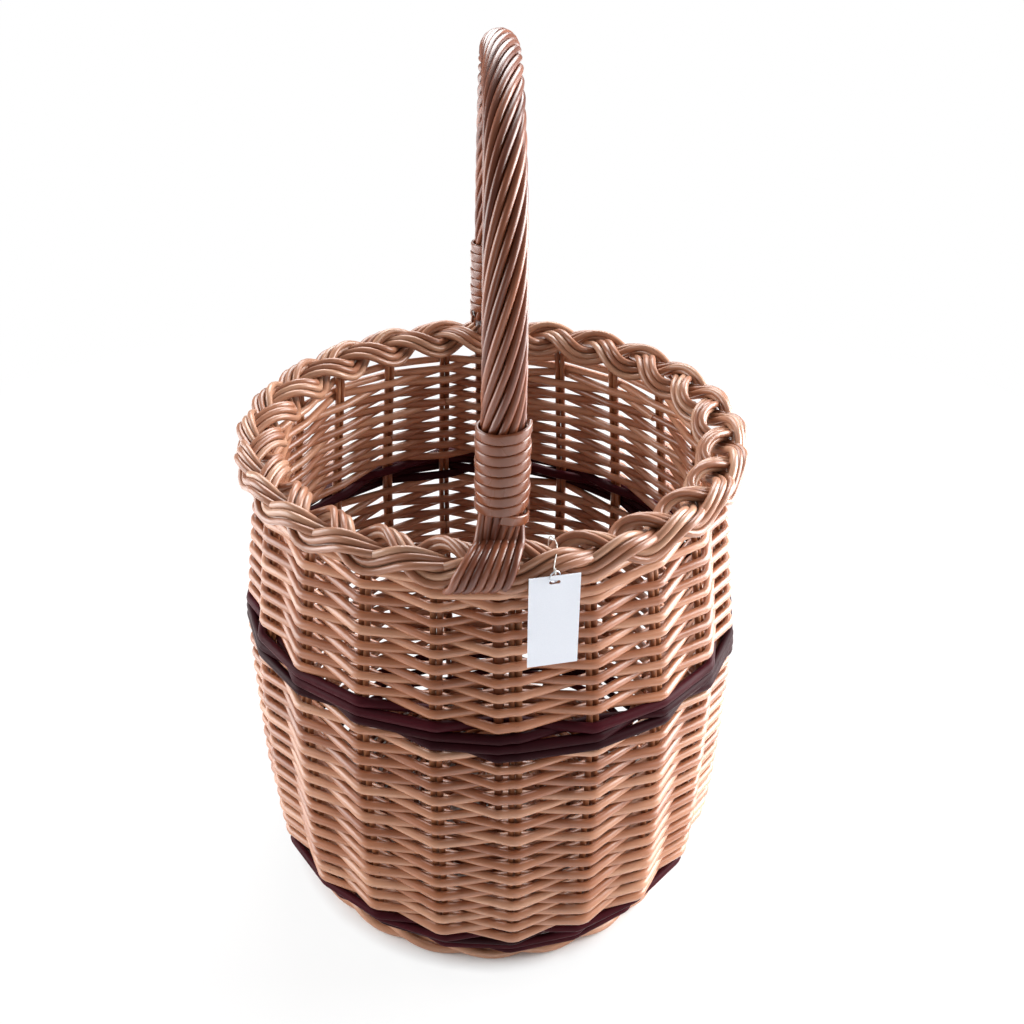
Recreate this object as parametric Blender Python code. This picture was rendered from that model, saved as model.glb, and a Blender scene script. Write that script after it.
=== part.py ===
"""Round willow shopping basket: stakes, continuous weavers, plaited border, roped bow handle and swing tag.

Metres, +Z up. The origin is on the ground at the middle of the foot, and the side with the tag is -Y.
"""

import math

import bmesh
import bpy
from mathutils import Vector

# Wall: the line that the stakes follow, as shares of its greatest radius and of its height
STAKE_COUNT = 21
FIRST_STAKE_ANGLE = math.radians(2.75)
WALL_RADIUS = 0.1648
WALL_HEIGHT_SHARES = (0.0, 0.05, 0.13, 0.30, 0.61, 0.73, 1.0)
WALL_RADIUS_SHARES = (0.834, 0.872, 0.942, 0.983, 0.995, 0.974, 0.8985)
STAKE_WIDTH = 0.0092
STAKE_THICKNESS = 0.0046
STAKE_SHOULDER_SHARE = 0.5
SEAT = 0.0003
WEAVE_GAP = 0.00035

# Rows of weaving: rounds, rise of one round, and side of the rod in each section
UPSETT_ROUNDS = 4
UPSETT_PITCH = 0.0063
LOWER_ROUNDS = 30
LOWER_RODS = 3
LOWER_PITCH = 0.00602
BAND_ROUNDS = 4
BAND_PITCH = 0.0061
UPPER_ROUNDS = 13
UPPER_RODS = 2
UPPER_PITCH = 0.0059
TOP_ROUNDS = 2
TOP_PITCH = 0.0060
WALE_FRONT = 3
WALE_BACK = 1
ROD_END_SHARE = 0.85

# Foot: a strand twisted with itself, which goes round twice before it closes
FOOT_OUTSET = 0.0038
FOOT_STRAND = 0.0056
FOOT_FLAT = 0.0005

# Base: sticks crossed three through four, opened into spokes, and paired with two weavers
BASE_STICK = 0.0060
BASE_STICKS_UNDER = 3
BASE_STICKS_OVER = 4
BASE_STICK_SPACING = 0.0072
BASE_RISE = 0.0043
BASE_CROWN = 0.0050
BASE_OPENING_RADIUS = 0.052
BASE_STICK_SHARES = (1.0, 0.0)
BASE_WEAVER = 0.0054
BASE_ROW_PITCH = 0.0088

# Border: a plait of three strands, wider where the bow goes down through it
BORDER_OUTSET = 0.0019
BORDER_STRAND = 0.0078
BORDER_SWING = 0.0110
BORDER_RISE = 0.0074
BORDER_PERIODS = 8
BORDER_STEPS = 6
BORDER_PART_SHARE = 0.25
BORDER_PART_LENGTH = 0.034

# Bow handle
BOW_LEAN_X = 0.001
BOW_INSET = 0.0125
BOW_RISE = 0.2390
BOW_DEPTH = 0.1870
BOW_GRIP_RADIUS = 0.0076
BOW_NECK_RADIUS = 0.0041
BOW_TIP_RADIUS = 0.0024
BOW_SHOULDER_RISE = 0.020
ROPE_COUNT = 12
ROPE_ROD = 0.0044
ROPE_RADIUS = 0.0110
ROPE_TURNS = 3.25
ROPE_END_RISE = 0.0150
ROPE_STEPS = 24
FAN_COUNT = 7
FAN_SPACING = 0.0056
FAN_LEAN = 0.0155
FAN_START_SHARE = 0.2
FAN_SQUARE_SHARE = 0.8
FAN_DEGREES = (90, 62, 34, 6, -24)

# Bindings round the feet of the handle
BINDING_TURNS = 8
BINDING_PITCH = 0.0070
BINDING_WIDTH = 0.0062
BINDING_THICKNESS = 0.0016
BINDING_STEPS = 12
BINDING_RISE = 0.0180

# Swing tag
TAG_ANGLE = math.radians(9.4)
TAG_WIDTH = 0.0295
TAG_LENGTH = 0.0620
TAG_THICKNESS = 0.0006
TAG_OFFSET = 0.0050
TAG_SLOT_WIDTH = 0.0066
TAG_SLOT_HEIGHT = 0.0024
TAG_SLOT_MARGIN = 0.0030
RING_RADIUS = 0.0033
RING_WIRE = 0.0009
RING_TURN = math.radians(40)
STRING = 0.0009
STRING_BEND = 0.0014

# Colours, roughness and metallic values
WILLOW = ((0.52, 0.30, 0.18), 0.55, 0.0)
WILLOW_PALE = ((0.60, 0.38, 0.25), 0.5, 0.0)
WILLOW_DARK = ((0.36, 0.19, 0.11), 0.6, 0.0)
MAROON = ((0.075, 0.017, 0.030), 0.42, 0.0)
CANE = ((0.50, 0.29, 0.17), 0.38, 0.0)
CARD_WHITE = ((0.80, 0.86, 0.92), 0.7, 0.0)
STEEL = ((0.62, 0.62, 0.64), 0.3, 1.0)
THREAD = ((0.82, 0.80, 0.76), 0.85, 0.0)

# Values that follow from the sizes above
TURN = 2.0 * math.pi
STAKE_STEP = TURN / STAKE_COUNT
SQUARE_TURN = math.pi / 4.0
SQUARE_RADIUS_SHARE = 1.0 / math.sqrt(2.0)
FOOT_TWIST_RADIUS = (FOOT_STRAND + WEAVE_GAP) * SQUARE_RADIUS_SHARE
FOOT_TOP = FOOT_STRAND + WEAVE_GAP + FOOT_STRAND - FOOT_FLAT
FOOT_RADIUS = WALL_RADIUS * WALL_RADIUS_SHARES[0] + FOOT_OUTSET
BASE_EDGE_HEIGHT = FOOT_TOP + BASE_RISE
SIDING_HEIGHT = LOWER_ROUNDS * LOWER_PITCH + UPPER_ROUNDS * UPPER_PITCH
WALE_HEIGHT = UPSETT_ROUNDS * UPSETT_PITCH + BAND_ROUNDS * BAND_PITCH + TOP_ROUNDS * TOP_PITCH
WALL_HEIGHT = FOOT_TOP + SEAT + SIDING_HEIGHT + WALE_HEIGHT + TOP_PITCH
BORDER_RADIUS = WALL_RADIUS * WALL_RADIUS_SHARES[-1] + BORDER_OUTSET
BORDER_HEIGHT = WALL_HEIGHT + WEAVE_GAP + BORDER_RISE * math.sin(TURN / 6.0) + BORDER_STRAND / 2.0
BOW_HALF_SPAN = BORDER_RADIUS - BOW_INSET
BOW_TOP = BORDER_HEIGHT + BOW_RISE
BOW_TIP_HEIGHT = BORDER_HEIGHT - BOW_DEPTH
BOW_FRONT_STEP = -0.212
BOW_BACK_STEP = 10.385
BORDER_STRANDS = 3
BORDER_DRIFT = -BORDER_PERIODS * ((BOW_BACK_STEP - BOW_FRONT_STEP) * STAKE_STEP - math.pi)


def material(name, look):
    colour, roughness, metallic = look
    made = bpy.data.materials.new(name)
    made.use_nodes = True
    shader = made.node_tree.nodes["Principled BSDF"]
    shader.inputs["Base Color"].default_value = (*colour, 1.0)
    shader.inputs["Roughness"].default_value = roughness
    shader.inputs["Metallic"].default_value = metallic
    return made


def link(name, data, look):
    obj = bpy.data.objects.new(name, data)
    bpy.context.scene.collection.objects.link(obj)
    data.materials.append(material(name, look))
    return obj


def tube(name, points, radius, look, resolution=0, closed=False, radii=None, extrude=0.0, tilt=0.0):
    """A curve object with a round bevel of 4 sides, or of 2 more for each step of resolution."""
    curve = bpy.data.curves.new(name, "CURVE")
    curve.dimensions = "3D"
    curve.twist_mode = "Z_UP"
    curve.bevel_depth = radius
    curve.bevel_resolution = resolution
    curve.extrude = extrude
    curve.use_fill_caps = True
    spline = curve.splines.new("POLY")
    spline.points.add(len(points) - 1)
    for index, (place, point) in enumerate(zip(spline.points, points)):
        place.co = (*point, 1.0)
        place.tilt = tilt
        place.radius = radii[index] / radius if radii else 1.0
    spline.use_cyclic_u = closed
    return link(name, curve, look)


def mesh_object(name, shape, look):
    bmesh.ops.recalc_face_normals(shape, faces=shape.faces)
    mesh = bpy.data.meshes.new(name)
    shape.to_mesh(mesh)
    shape.free()
    mesh.shade_smooth()
    mesh.set_sharp_from_angle(angle=math.radians(40))
    return link(name, mesh, look)


def loft(name, rings, look):
    """A closed skin over rings of points that run along a piece."""
    shape = bmesh.new()
    rows = [[shape.verts.new(point) for point in ring] for ring in rings]
    for before, after in zip(rows, rows[1:]):
        for here in range(len(before)):
            there = (here + 1) % len(before)
            shape.faces.new((before[here], before[there], after[there], after[here]))
    shape.faces.new(rows[0][::-1])
    shape.faces.new(rows[-1])
    return mesh_object(name, shape, look)


def smooth_share(value):
    value = min(max(value, 0.0), 1.0)
    return value * value * (3.0 - 2.0 * value)


def wall_piece(height):
    """Heights and radii of the two ends of the straight piece of the wall that holds a height."""
    share = height / WALL_HEIGHT
    index = 0
    while index < len(WALL_HEIGHT_SHARES) - 2 and share > WALL_HEIGHT_SHARES[index + 1]:
        index += 1
    low, high = (WALL_HEIGHT * part for part in WALL_HEIGHT_SHARES[index : index + 2])
    inner, outer = (WALL_RADIUS * part for part in WALL_RADIUS_SHARES[index : index + 2])
    return low, high, inner, outer


def wall_radius(height):
    low, high, inner, outer = wall_piece(height)
    return inner + (outer - inner) * (height - low) / (high - low)


def wall_slope(height):
    """Steepest lean of the wall over the thickness of a rod at a height."""
    found = 0.0
    for place in (height - LOWER_PITCH / 2.0, height + LOWER_PITCH / 2.0):
        low, high, inner, outer = wall_piece(place)
        found = max(found, abs(outer - inner) / (high - low))
    return found


def around(angle, radius, height):
    """A point of the basket: angle 0 is the front, -Y, and it grows towards +X."""
    return Vector((radius * math.sin(angle), -radius * math.cos(angle), height))


def bow_radius(height):
    """Radius of the bow's core: a wedge-like tip in the wall, a neck in the border and a thick grip."""
    neck = BORDER_HEIGHT + BORDER_RISE
    if height > neck:
        share = smooth_share((height - neck - ROPE_END_RISE / 2.0) / BOW_SHOULDER_RISE)
        return BOW_NECK_RADIUS + (BOW_GRIP_RADIUS - BOW_NECK_RADIUS) * share
    share = (height - BOW_TIP_HEIGHT) / (neck - BOW_TIP_HEIGHT)
    return BOW_TIP_RADIUS + (BOW_NECK_RADIUS - BOW_TIP_RADIUS) * max(share, 0.0)


def bend_offset(half, shoulder, rod, lean, slope):
    """Distance from a warp's middle to a rod that bends over it and clears its shoulders on both flanks."""
    flank = (rod / 2.0 + WEAVE_GAP) / math.cos(lean) + shoulder * max(math.tan(lean), 0.0)
    return half * math.hypot(1.0, slope) + rod / 2.0 * slope + flank


class Crossing:
    """A place where a rod of the wall passes a warp: a stake or one end of the bow."""

    def __init__(self, row, step, side):
        self.side = side
        self.height = row.height(step)
        self.line = wall_radius(self.height)
        self.angle = FIRST_STAKE_ANGLE + step * STAKE_STEP
        self.bow = step != int(step)
        self.half = bow_radius(self.height) if self.bow else STAKE_THICKNESS / 2.0
        self.shoulder = 0.0 if self.bow else STAKE_WIDTH * STAKE_SHOULDER_SHARE / 2.0
        self.reach = self.half + row.rod / 2.0 + WEAVE_GAP

    def lean_to(self, other):
        turn = abs(other.angle - self.angle)
        change = self.reach - self.side * other.side * other.reach
        return math.atan2(change, self.line * turn) + self.side * turn / 2.0

    def point(self, row, others):
        lean = max(self.lean_to(other) for other in others)
        slope = wall_slope(self.height)
        offset = bend_offset(self.half, self.shoulder, row.rod, lean, slope)
        return around(self.angle, self.line + self.side * offset, self.height)


class Row:
    """One woven rod: where it starts in the helix, how it climbs, and how it passes the stakes."""

    def __init__(self, name, first, rounds, start_height, first_pitch, pitch, rod, front, look):
        self.name = name
        self.first = first
        self.rounds = rounds
        self.start_height = start_height
        self.first_pitch = first_pitch
        self.pitch = pitch
        self.rod = rod
        self.front = front
        self.look = look

    def height(self, step):
        turns = (step - self.first) / STAKE_COUNT
        if turns < 1.0:
            return self.start_height + self.first_pitch * turns
        return self.start_height + self.first_pitch + self.pitch * (turns - 1.0)

    def side(self, step):
        """+1 outside the stake, -1 inside it."""
        return -1 if step % (self.front + 1) == self.front else 1

    def end_height(self):
        return self.height(self.first + self.rounds * STAKE_COUNT)

    def crossings(self):
        """Every crossing from the rod's butt to its tip, with one more past the tip."""
        last = self.first + self.rounds * STAKE_COUNT - 1
        found = []
        for step in range(self.first, last + 2):
            found.append(Crossing(self, step, self.side(step)))
            place = step % STAKE_COUNT
            low = BOW_TIP_HEIGHT - self.rod
            if place == math.floor(BOW_BACK_STEP) and self.height(step) > low:
                found.append(Crossing(self, step - place + BOW_BACK_STEP, self.side(step)))
            if place == STAKE_COUNT - 1 and step < last and self.height(step) > low:
                found.append(Crossing(self, step + 1 + BOW_FRONT_STEP, self.side(step + 1)))
        return found

    def points(self):
        marks = self.crossings()
        found = []
        for index, mark in enumerate(marks):
            others = marks[max(index - 1, 0) : index] + marks[index + 1 : index + 2]
            found.append(mark.point(self, others))
        found[-1] = found[-2].lerp(found[-1], ROD_END_SHARE + BOW_FRONT_STEP)
        return found


def weave_rows():
    """The rods of the wall from the upsett to the top wale, stacked as one helix."""
    sections = [("upsett_wale", UPSETT_ROUNDS, UPSETT_PITCH, WALE_FRONT, MAROON)]
    for index in range(LOWER_RODS):
        rounds = LOWER_ROUNDS * (index + 1) // LOWER_RODS - LOWER_ROUNDS * index // LOWER_RODS
        sections.append((f"siding_lower_{index + 1}", rounds, LOWER_PITCH, WALE_BACK, WILLOW))
    sections.append(("middle_wale_band", BAND_ROUNDS, BAND_PITCH, WALE_FRONT, MAROON))
    for index in range(UPPER_RODS):
        rounds = UPPER_ROUNDS * (index + 1) // UPPER_RODS - UPPER_ROUNDS * index // UPPER_RODS
        sections.append((f"siding_upper_{index + 1}", rounds, UPPER_PITCH, WALE_BACK, WILLOW))
    sections.append(("top_wale", TOP_ROUNDS, TOP_PITCH, WALE_FRONT, WILLOW))
    rows = []
    first = 0
    height = FOOT_TOP + SEAT + UPSETT_PITCH / 2.0
    before = UPSETT_PITCH
    for name, rounds, pitch, front, look in sections:
        start = height - before + (before + pitch) / 2.0
        row = Row(name, first, rounds, start, max(before, pitch), pitch, pitch - WEAVE_GAP, front, look)
        rows.append(row)
        first += rounds * STAKE_COUNT
        height = row.end_height()
        before = pitch
    return rows


def border_phase(angle):
    """Phase of the plait: it parts the same way round both ends of the bow, half a turn apart."""
    front = FIRST_STAKE_ANGLE + BOW_FRONT_STEP * STAKE_STEP
    turn = angle - front
    return -math.pi / 2.0 + BORDER_PERIODS * turn + BORDER_DRIFT * (1.0 - math.cos(turn)) / 2.0


def border_angle(phase):
    """The angle at which the plait has a phase."""
    angle = phase / BORDER_PERIODS
    for _ in range(12):
        angle -= (border_phase(angle) - phase) / BORDER_PERIODS
    return angle


def border_point(strand, angle):
    front = FIRST_STAKE_ANGLE + BOW_FRONT_STEP * STAKE_STEP
    back = FIRST_STAKE_ANGLE + BOW_BACK_STEP * STAKE_STEP
    phase = border_phase(angle) + TURN * strand / BORDER_STRANDS
    swing = BORDER_SWING
    for bow in (front, back):
        away = abs(math.remainder(angle - bow, TURN)) * BORDER_RADIUS
        swing += BORDER_SWING * BORDER_PART_SHARE * (1.0 - smooth_share(away / BORDER_PART_LENGTH))
    radius = BORDER_RADIUS + swing * math.sin(phase)
    return around(angle, radius, BORDER_HEIGHT - BORDER_RISE * math.sin(2.0 * phase))


def border_underside(angle, radius):
    """Height of the plait's lowest face over the top of a stake."""
    lowest = BORDER_HEIGHT
    half = BORDER_STRAND / 2.0
    for strand in range(BORDER_STRANDS):
        for side in (-1.0, 0.0, 1.0):
            middle = border_point(strand, angle + side * STAKE_WIDTH / 2.0 / radius)
            across = abs(math.hypot(middle.x, middle.y) - radius) - STAKE_THICKNESS / 2.0
            if across < half:
                lowest = min(lowest, middle.z - math.sqrt(half**2 - max(across, 0.0) ** 2))
    return lowest


def make_foot():
    """The twisted foot strand, with a crossing under each stake, cut flat where it stands."""
    steps = 2 * STAKE_COUNT * 2
    rise = FOOT_STRAND + WEAVE_GAP / 2.0 - FOOT_FLAT
    points = []
    for step in range(steps):
        # The points are at the corners of a square twist, so the strand clears itself between them too
        turn = 2.0 * TURN * (step + 0.5) / steps
        twist = STAKE_COUNT * turn / 2.0
        radius = FOOT_RADIUS + FOOT_TWIST_RADIUS * math.sin(twist)
        points.append(around(FIRST_STAKE_ANGLE + turn, radius, rise + FOOT_TWIST_RADIUS * math.cos(twist)))
    half = FOOT_STRAND * SQUARE_RADIUS_SHARE
    guide = tube("foot_strand", points, half, WILLOW, closed=True, tilt=SQUARE_TURN)
    shape = bmesh.new()
    shape.from_mesh(guide.to_mesh())
    bmesh.ops.remove_doubles(shape, verts=shape.verts, dist=WEAVE_GAP / 100.0)
    everything = shape.verts[:] + shape.edges[:] + shape.faces[:]
    down = Vector((0.0, 0.0, -1.0))
    cut = bmesh.ops.bisect_plane(shape, geom=everything, plane_co=Vector(), plane_no=down, clear_outer=True)
    edges = [part for part in cut["geom_cut"] if isinstance(part, bmesh.types.BMEdge)]
    bmesh.ops.holes_fill(shape, edges=edges, sides=0)
    bpy.data.objects.remove(guide)
    mesh_object("foot_wale", shape, WILLOW)


def spoke_place(radius):
    """Height of the base's middle layer at a radius: it is domed upwards."""
    edge = wall_radius(BASE_EDGE_HEIGHT)
    return BASE_EDGE_HEIGHT + BASE_CROWN * (1.0 - radius / edge)


def base_edge_radius(angle):
    """Radius where a base stick ends: at the stakes' inner faces, or before them at a round of the wale."""
    wale = weave_rows()[0]
    points = wale.points()
    found = [wall_radius(BASE_EDGE_HEIGHT - BASE_STICK / 2.0) - STAKE_THICKNESS / 2.0]
    for side in (-1.0, 0.0, 1.0):
        place = angle + side * BASE_STICK / 2.0 / WALL_RADIUS
        step = (place - FIRST_STAKE_ANGLE) % TURN / STAKE_STEP
        for turn in range(wale.rounds):
            index = int(step) + turn * STAKE_COUNT
            middle = points[index].lerp(points[index + 1], step - int(step))
            if abs(middle.z - BASE_EDGE_HEIGHT) < (BASE_STICK + wale.rod) / 2.0 + WEAVE_GAP:
                found.append(math.hypot(*middle.xy) - wale.rod / 2.0 - SEAT)
    return min(found) - SEAT


def base_reach(spacing):
    """Distance from a spoke's middle to a weaver that swaps sides between spokes at a spacing."""
    reach = (BASE_STICK + BASE_WEAVER) / 2.0
    for _ in range(8):
        lean = math.atan2(2.0 * reach, spacing)
        reach = bend_offset(BASE_STICK / 2.0, BASE_STICK / 2.0, BASE_WEAVER, lean, BASE_CROWN / WALL_RADIUS)
    return reach


def make_base():
    spokes = 2 * (BASE_STICKS_UNDER + BASE_STICKS_OVER)
    spread = TURN / spokes
    edges = [base_edge_radius(spread * spoke) for spoke in range(spokes)]
    for layer, count in ((-1, BASE_STICKS_UNDER), (1, BASE_STICKS_OVER)):
        heading = 0.0 if layer < 0 else math.pi / 2.0
        for index in range(count):
            place = index - (count - 1) / 2.0
            points = []
            for way in (-1, 1):
                run = []
                for share in BASE_STICK_SHARES:
                    angle = heading + way * place * spread + (math.pi if way < 0 else 0.0)
                    end = edges[round(angle / spread) % spokes]
                    radius = BASE_OPENING_RADIUS + (end - BASE_OPENING_RADIUS) * share
                    run.append(around(angle, radius, spoke_place(radius)))
                middle = heading + (math.pi if way < 0 else 0.0)
                lift = layer * (BASE_STICK + 2.0 * WEAVE_GAP) / 2.0
                near = around(middle, BASE_OPENING_RADIUS / 2.0, spoke_place(0.0) + lift)
                side = around(middle + math.pi / 2.0, place * way * BASE_STICK_SPACING, 0.0)
                run.append(near + side)
                points += run if way < 0 else run[::-1]
            name = f"base_stick_{'under' if layer < 0 else 'over'}_{index + 1}"
            tube(name, points, BASE_STICK * SQUARE_RADIUS_SHARE, WILLOW_DARK, tilt=SQUARE_TURN)
    end = min(edges)
    rows = int((end - BASE_OPENING_RADIUS - BASE_WEAVER) / BASE_ROW_PITCH)
    for weaver in range(2):
        points = []
        for step in range(rows // 2 * spokes + 1):
            angle = spread * step + (spread / 2.0 if BASE_STICKS_UNDER % 2 == 0 else 0.0)
            inner = end - BASE_WEAVER / 2.0 - (rows // 2 * 2 + 1) * BASE_ROW_PITCH
            radius = inner + BASE_ROW_PITCH * (2.0 * step / spokes + weaver)
            reach = base_reach(radius * spread)
            side = 1 if (step + weaver) % 2 else -1
            points.append(around(angle, radius, spoke_place(radius) + side * reach))
        radius = BASE_WEAVER * SQUARE_RADIUS_SHARE
        tube(f"base_weaver_{weaver + 1}", points, radius, WILLOW_DARK, tilt=SQUARE_TURN)


def make_stakes():
    half = STAKE_WIDTH / 2.0
    shoulder = half * STAKE_SHOULDER_SHARE
    thick = STAKE_THICKNESS / 2.0
    outline = [(-half, 0.0), (-shoulder, -thick), (shoulder, -thick)]
    outline += [(-across, -depth) for across, depth in outline]
    bottom = FOOT_TOP + SEAT
    for index in range(STAKE_COUNT):
        angle = FIRST_STAKE_ANGLE + index * STAKE_STEP
        top = border_underside(angle, wall_radius(WALL_HEIGHT)) - SEAT - WEAVE_GAP
        heights = [bottom] + [WALL_HEIGHT * share for share in WALL_HEIGHT_SHARES[1:-1]] + [top]
        outward = around(angle, 1.0, 0.0)
        along = around(angle + math.pi / 2.0, 1.0, 0.0)
        rings = []
        for height in heights:
            middle = around(angle, wall_radius(height), height)
            rings.append([middle + along * a + outward * b for a, b in outline])
        loft(f"stake_{index + 1:02d}", rings, WILLOW_DARK)


def make_weave():
    for row in weave_rows():
        tube(row.name, row.points(), row.rod * SQUARE_RADIUS_SHARE, row.look, tilt=SQUARE_TURN)


def make_border():
    steps = BORDER_PERIODS * BORDER_STEPS
    for strand in range(BORDER_STRANDS):
        points = []
        for step in range(steps):
            # Every crossing of two strands, a sixth of a period apart, has a point
            phase = math.pi / 6.0 + TURN * step / BORDER_STEPS - TURN * strand / BORDER_STRANDS
            points.append(border_point(strand, border_angle(phase)))
        # The drift of the phase is a whole number of strands over one round, so each strand closes on itself
        name = f"border_strand_{strand + 1}"
        tube(name, points, BORDER_STRAND / 2.0, WILLOW_PALE, resolution=1, closed=True)


def bow_axis():
    """The arch of the handle above the border, as an axis with its length: legs and a round top."""
    foot = BORDER_HEIGHT + BORDER_RISE + ROPE_END_RISE
    spring = BOW_TOP - BOW_HALF_SPAN
    leg = spring - foot
    return foot, spring, leg, 2.0 * leg + math.pi * BOW_HALF_SPAN


def bow_frame(length):
    """Point on the arch's axis and the direction away from its middle, at a length from the front foot."""
    foot, spring, leg, whole = bow_axis()
    if length < leg:
        return Vector((BOW_LEAN_X, -BOW_HALF_SPAN, foot + length)), Vector((0.0, -1.0, 0.0))
    if length > whole - leg:
        return Vector((BOW_LEAN_X, BOW_HALF_SPAN, foot + whole - length)), Vector((0.0, 1.0, 0.0))
    angle = (length - leg) / BOW_HALF_SPAN
    outward = Vector((0.0, -math.cos(angle), math.sin(angle)))
    return Vector((BOW_LEAN_X, 0.0, spring)) + outward * BOW_HALF_SPAN, outward


def bow_end_points(front):
    """The bow's end from the arch's foot down through the border and along the wall."""
    step = BOW_FRONT_STEP if front else BOW_BACK_STEP
    angle = FIRST_STAKE_ANGLE + step * STAKE_STEP
    inner = min(math.hypot(*border_point(strand, angle).xy) for strand in range(BORDER_STRANDS))
    middle = inner + BORDER_STRAND / 2.0 + BOW_NECK_RADIUS + 2.0 * WEAVE_GAP
    heights = [BORDER_HEIGHT + BORDER_RISE, BORDER_HEIGHT - BORDER_RISE]
    points = [around(angle, middle, height) for height in heights]
    bottom = WALL_HEIGHT - BORDER_RISE
    bends = [WALL_HEIGHT * share for share in WALL_HEIGHT_SHARES]
    heights = [height for height in bends if BOW_TIP_HEIGHT < height < bottom]
    for height in [bottom] + heights[::-1] + [BOW_TIP_HEIGHT]:
        points.append(around(angle, wall_radius(height), height))
    return points


def make_bow():
    whole = bow_axis()[3]
    arch = [bow_frame(whole * step / ROPE_STEPS)[0] for step in range(ROPE_STEPS + 1)]
    points = bow_end_points(True)[::-1] + arch + bow_end_points(False)
    radii = [bow_radius(point.z) for point in points]
    tube("handle_bow", points, BOW_GRIP_RADIUS, WILLOW_DARK, radii=radii)


def fan_points(turn, outward, right):
    """A roping rod's end, spread over the outside of the border and tucked under it."""
    lateral = turn / (TURN / ROPE_COUNT) * FAN_SPACING
    over = BORDER_SWING * (1.0 + BORDER_PART_SHARE) + (BORDER_STRAND + ROPE_ROD) / 2.0 + WEAVE_GAP
    high = BORDER_RISE + (BORDER_STRAND + ROPE_ROD) / 2.0 + WEAVE_GAP
    points = []
    for degrees in FAN_DEGREES:
        share = (FAN_DEGREES[0] - degrees) / (FAN_DEGREES[0] - FAN_DEGREES[-1])
        angle = math.radians(degrees)
        across = math.copysign(abs(math.cos(angle)) ** FAN_SQUARE_SHARE, math.cos(angle))
        upward = math.copysign(abs(math.sin(angle)) ** FAN_SQUARE_SHARE, math.sin(angle))
        side = lateral - FAN_LEAN * (FAN_START_SHARE + (1.0 - FAN_START_SHARE) * share)
        place = outward * (BORDER_RADIUS + over * across) + right * side
        place.x += BOW_LEAN_X
        place.z = BORDER_HEIGHT + high * upward
        points.append(place)
    return points


def make_roping():
    """Rods wound side by side round the bow; the outer ones spread over the border at each foot."""
    whole = bow_axis()[3]
    for index in range(ROPE_COUNT):
        points = []
        turns = []
        for step in range(ROPE_STEPS + 1):
            length = whole * step / ROPE_STEPS
            turn = TURN * (index / ROPE_COUNT + ROPE_TURNS * length / whole)
            middle, outward = bow_frame(length)
            side = Vector((1.0, 0.0, 0.0))
            points.append(middle + ROPE_RADIUS * (math.cos(turn) * outward + math.sin(turn) * side))
            turns.append(math.remainder(turn, TURN))
        reach = (FAN_COUNT // 2 + 0.01) * TURN / ROPE_COUNT
        front, back = Vector((0.0, -1.0, 0.0)), Vector((0.0, 1.0, 0.0))
        right = Vector((1.0, 0.0, 0.0))
        if abs(turns[0]) < reach:
            points = fan_points(turns[0], front, right)[::-1] + points
        if abs(turns[-1]) < reach:
            points = points + fan_points(-turns[-1], back, -right)
        tube(f"handle_rope_{index + 1:02d}", points, ROPE_ROD / 2.0, WILLOW)


def make_bindings():
    """A flat strip wound round each foot of the handle as one unbroken helix."""
    foot = bow_axis()[0]
    inner = ROPE_RADIUS + ROPE_ROD / 2.0 + WEAVE_GAP
    start = foot - ROPE_END_RISE + BINDING_RISE + BINDING_WIDTH / 2.0
    for name, side in (("binding_front", -1), ("binding_back", 1)):
        rings = []
        for step in range(BINDING_TURNS * BINDING_STEPS + 1):
            angle = TURN * step / BINDING_STEPS
            outward = Vector((math.cos(angle), math.sin(angle), 0.0))
            middle = Vector((BOW_LEAN_X, side * BOW_HALF_SPAN, start + BINDING_PITCH * step / BINDING_STEPS))
            ring = []
            for depth, rise in ((0.0, -1.0), (1.0, -1.0), (1.0, 1.0), (0.0, 1.0)):
                place = middle + outward * (inner + BINDING_THICKNESS * depth)
                place.z += BINDING_WIDTH / 2.0 * rise
                ring.append(place)
            rings.append(ring)
        loft(name, rings, CANE)
        least = min(
            (low - high).length
            for index, ring in enumerate(rings)
            for low in ring[1:3]
            for other in rings[index + BINDING_STEPS // 2 :]
            for high in other[:2]
        )
        print(f"{name}: least gap to itself {least * 1000.0:.2f} mm")


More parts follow.
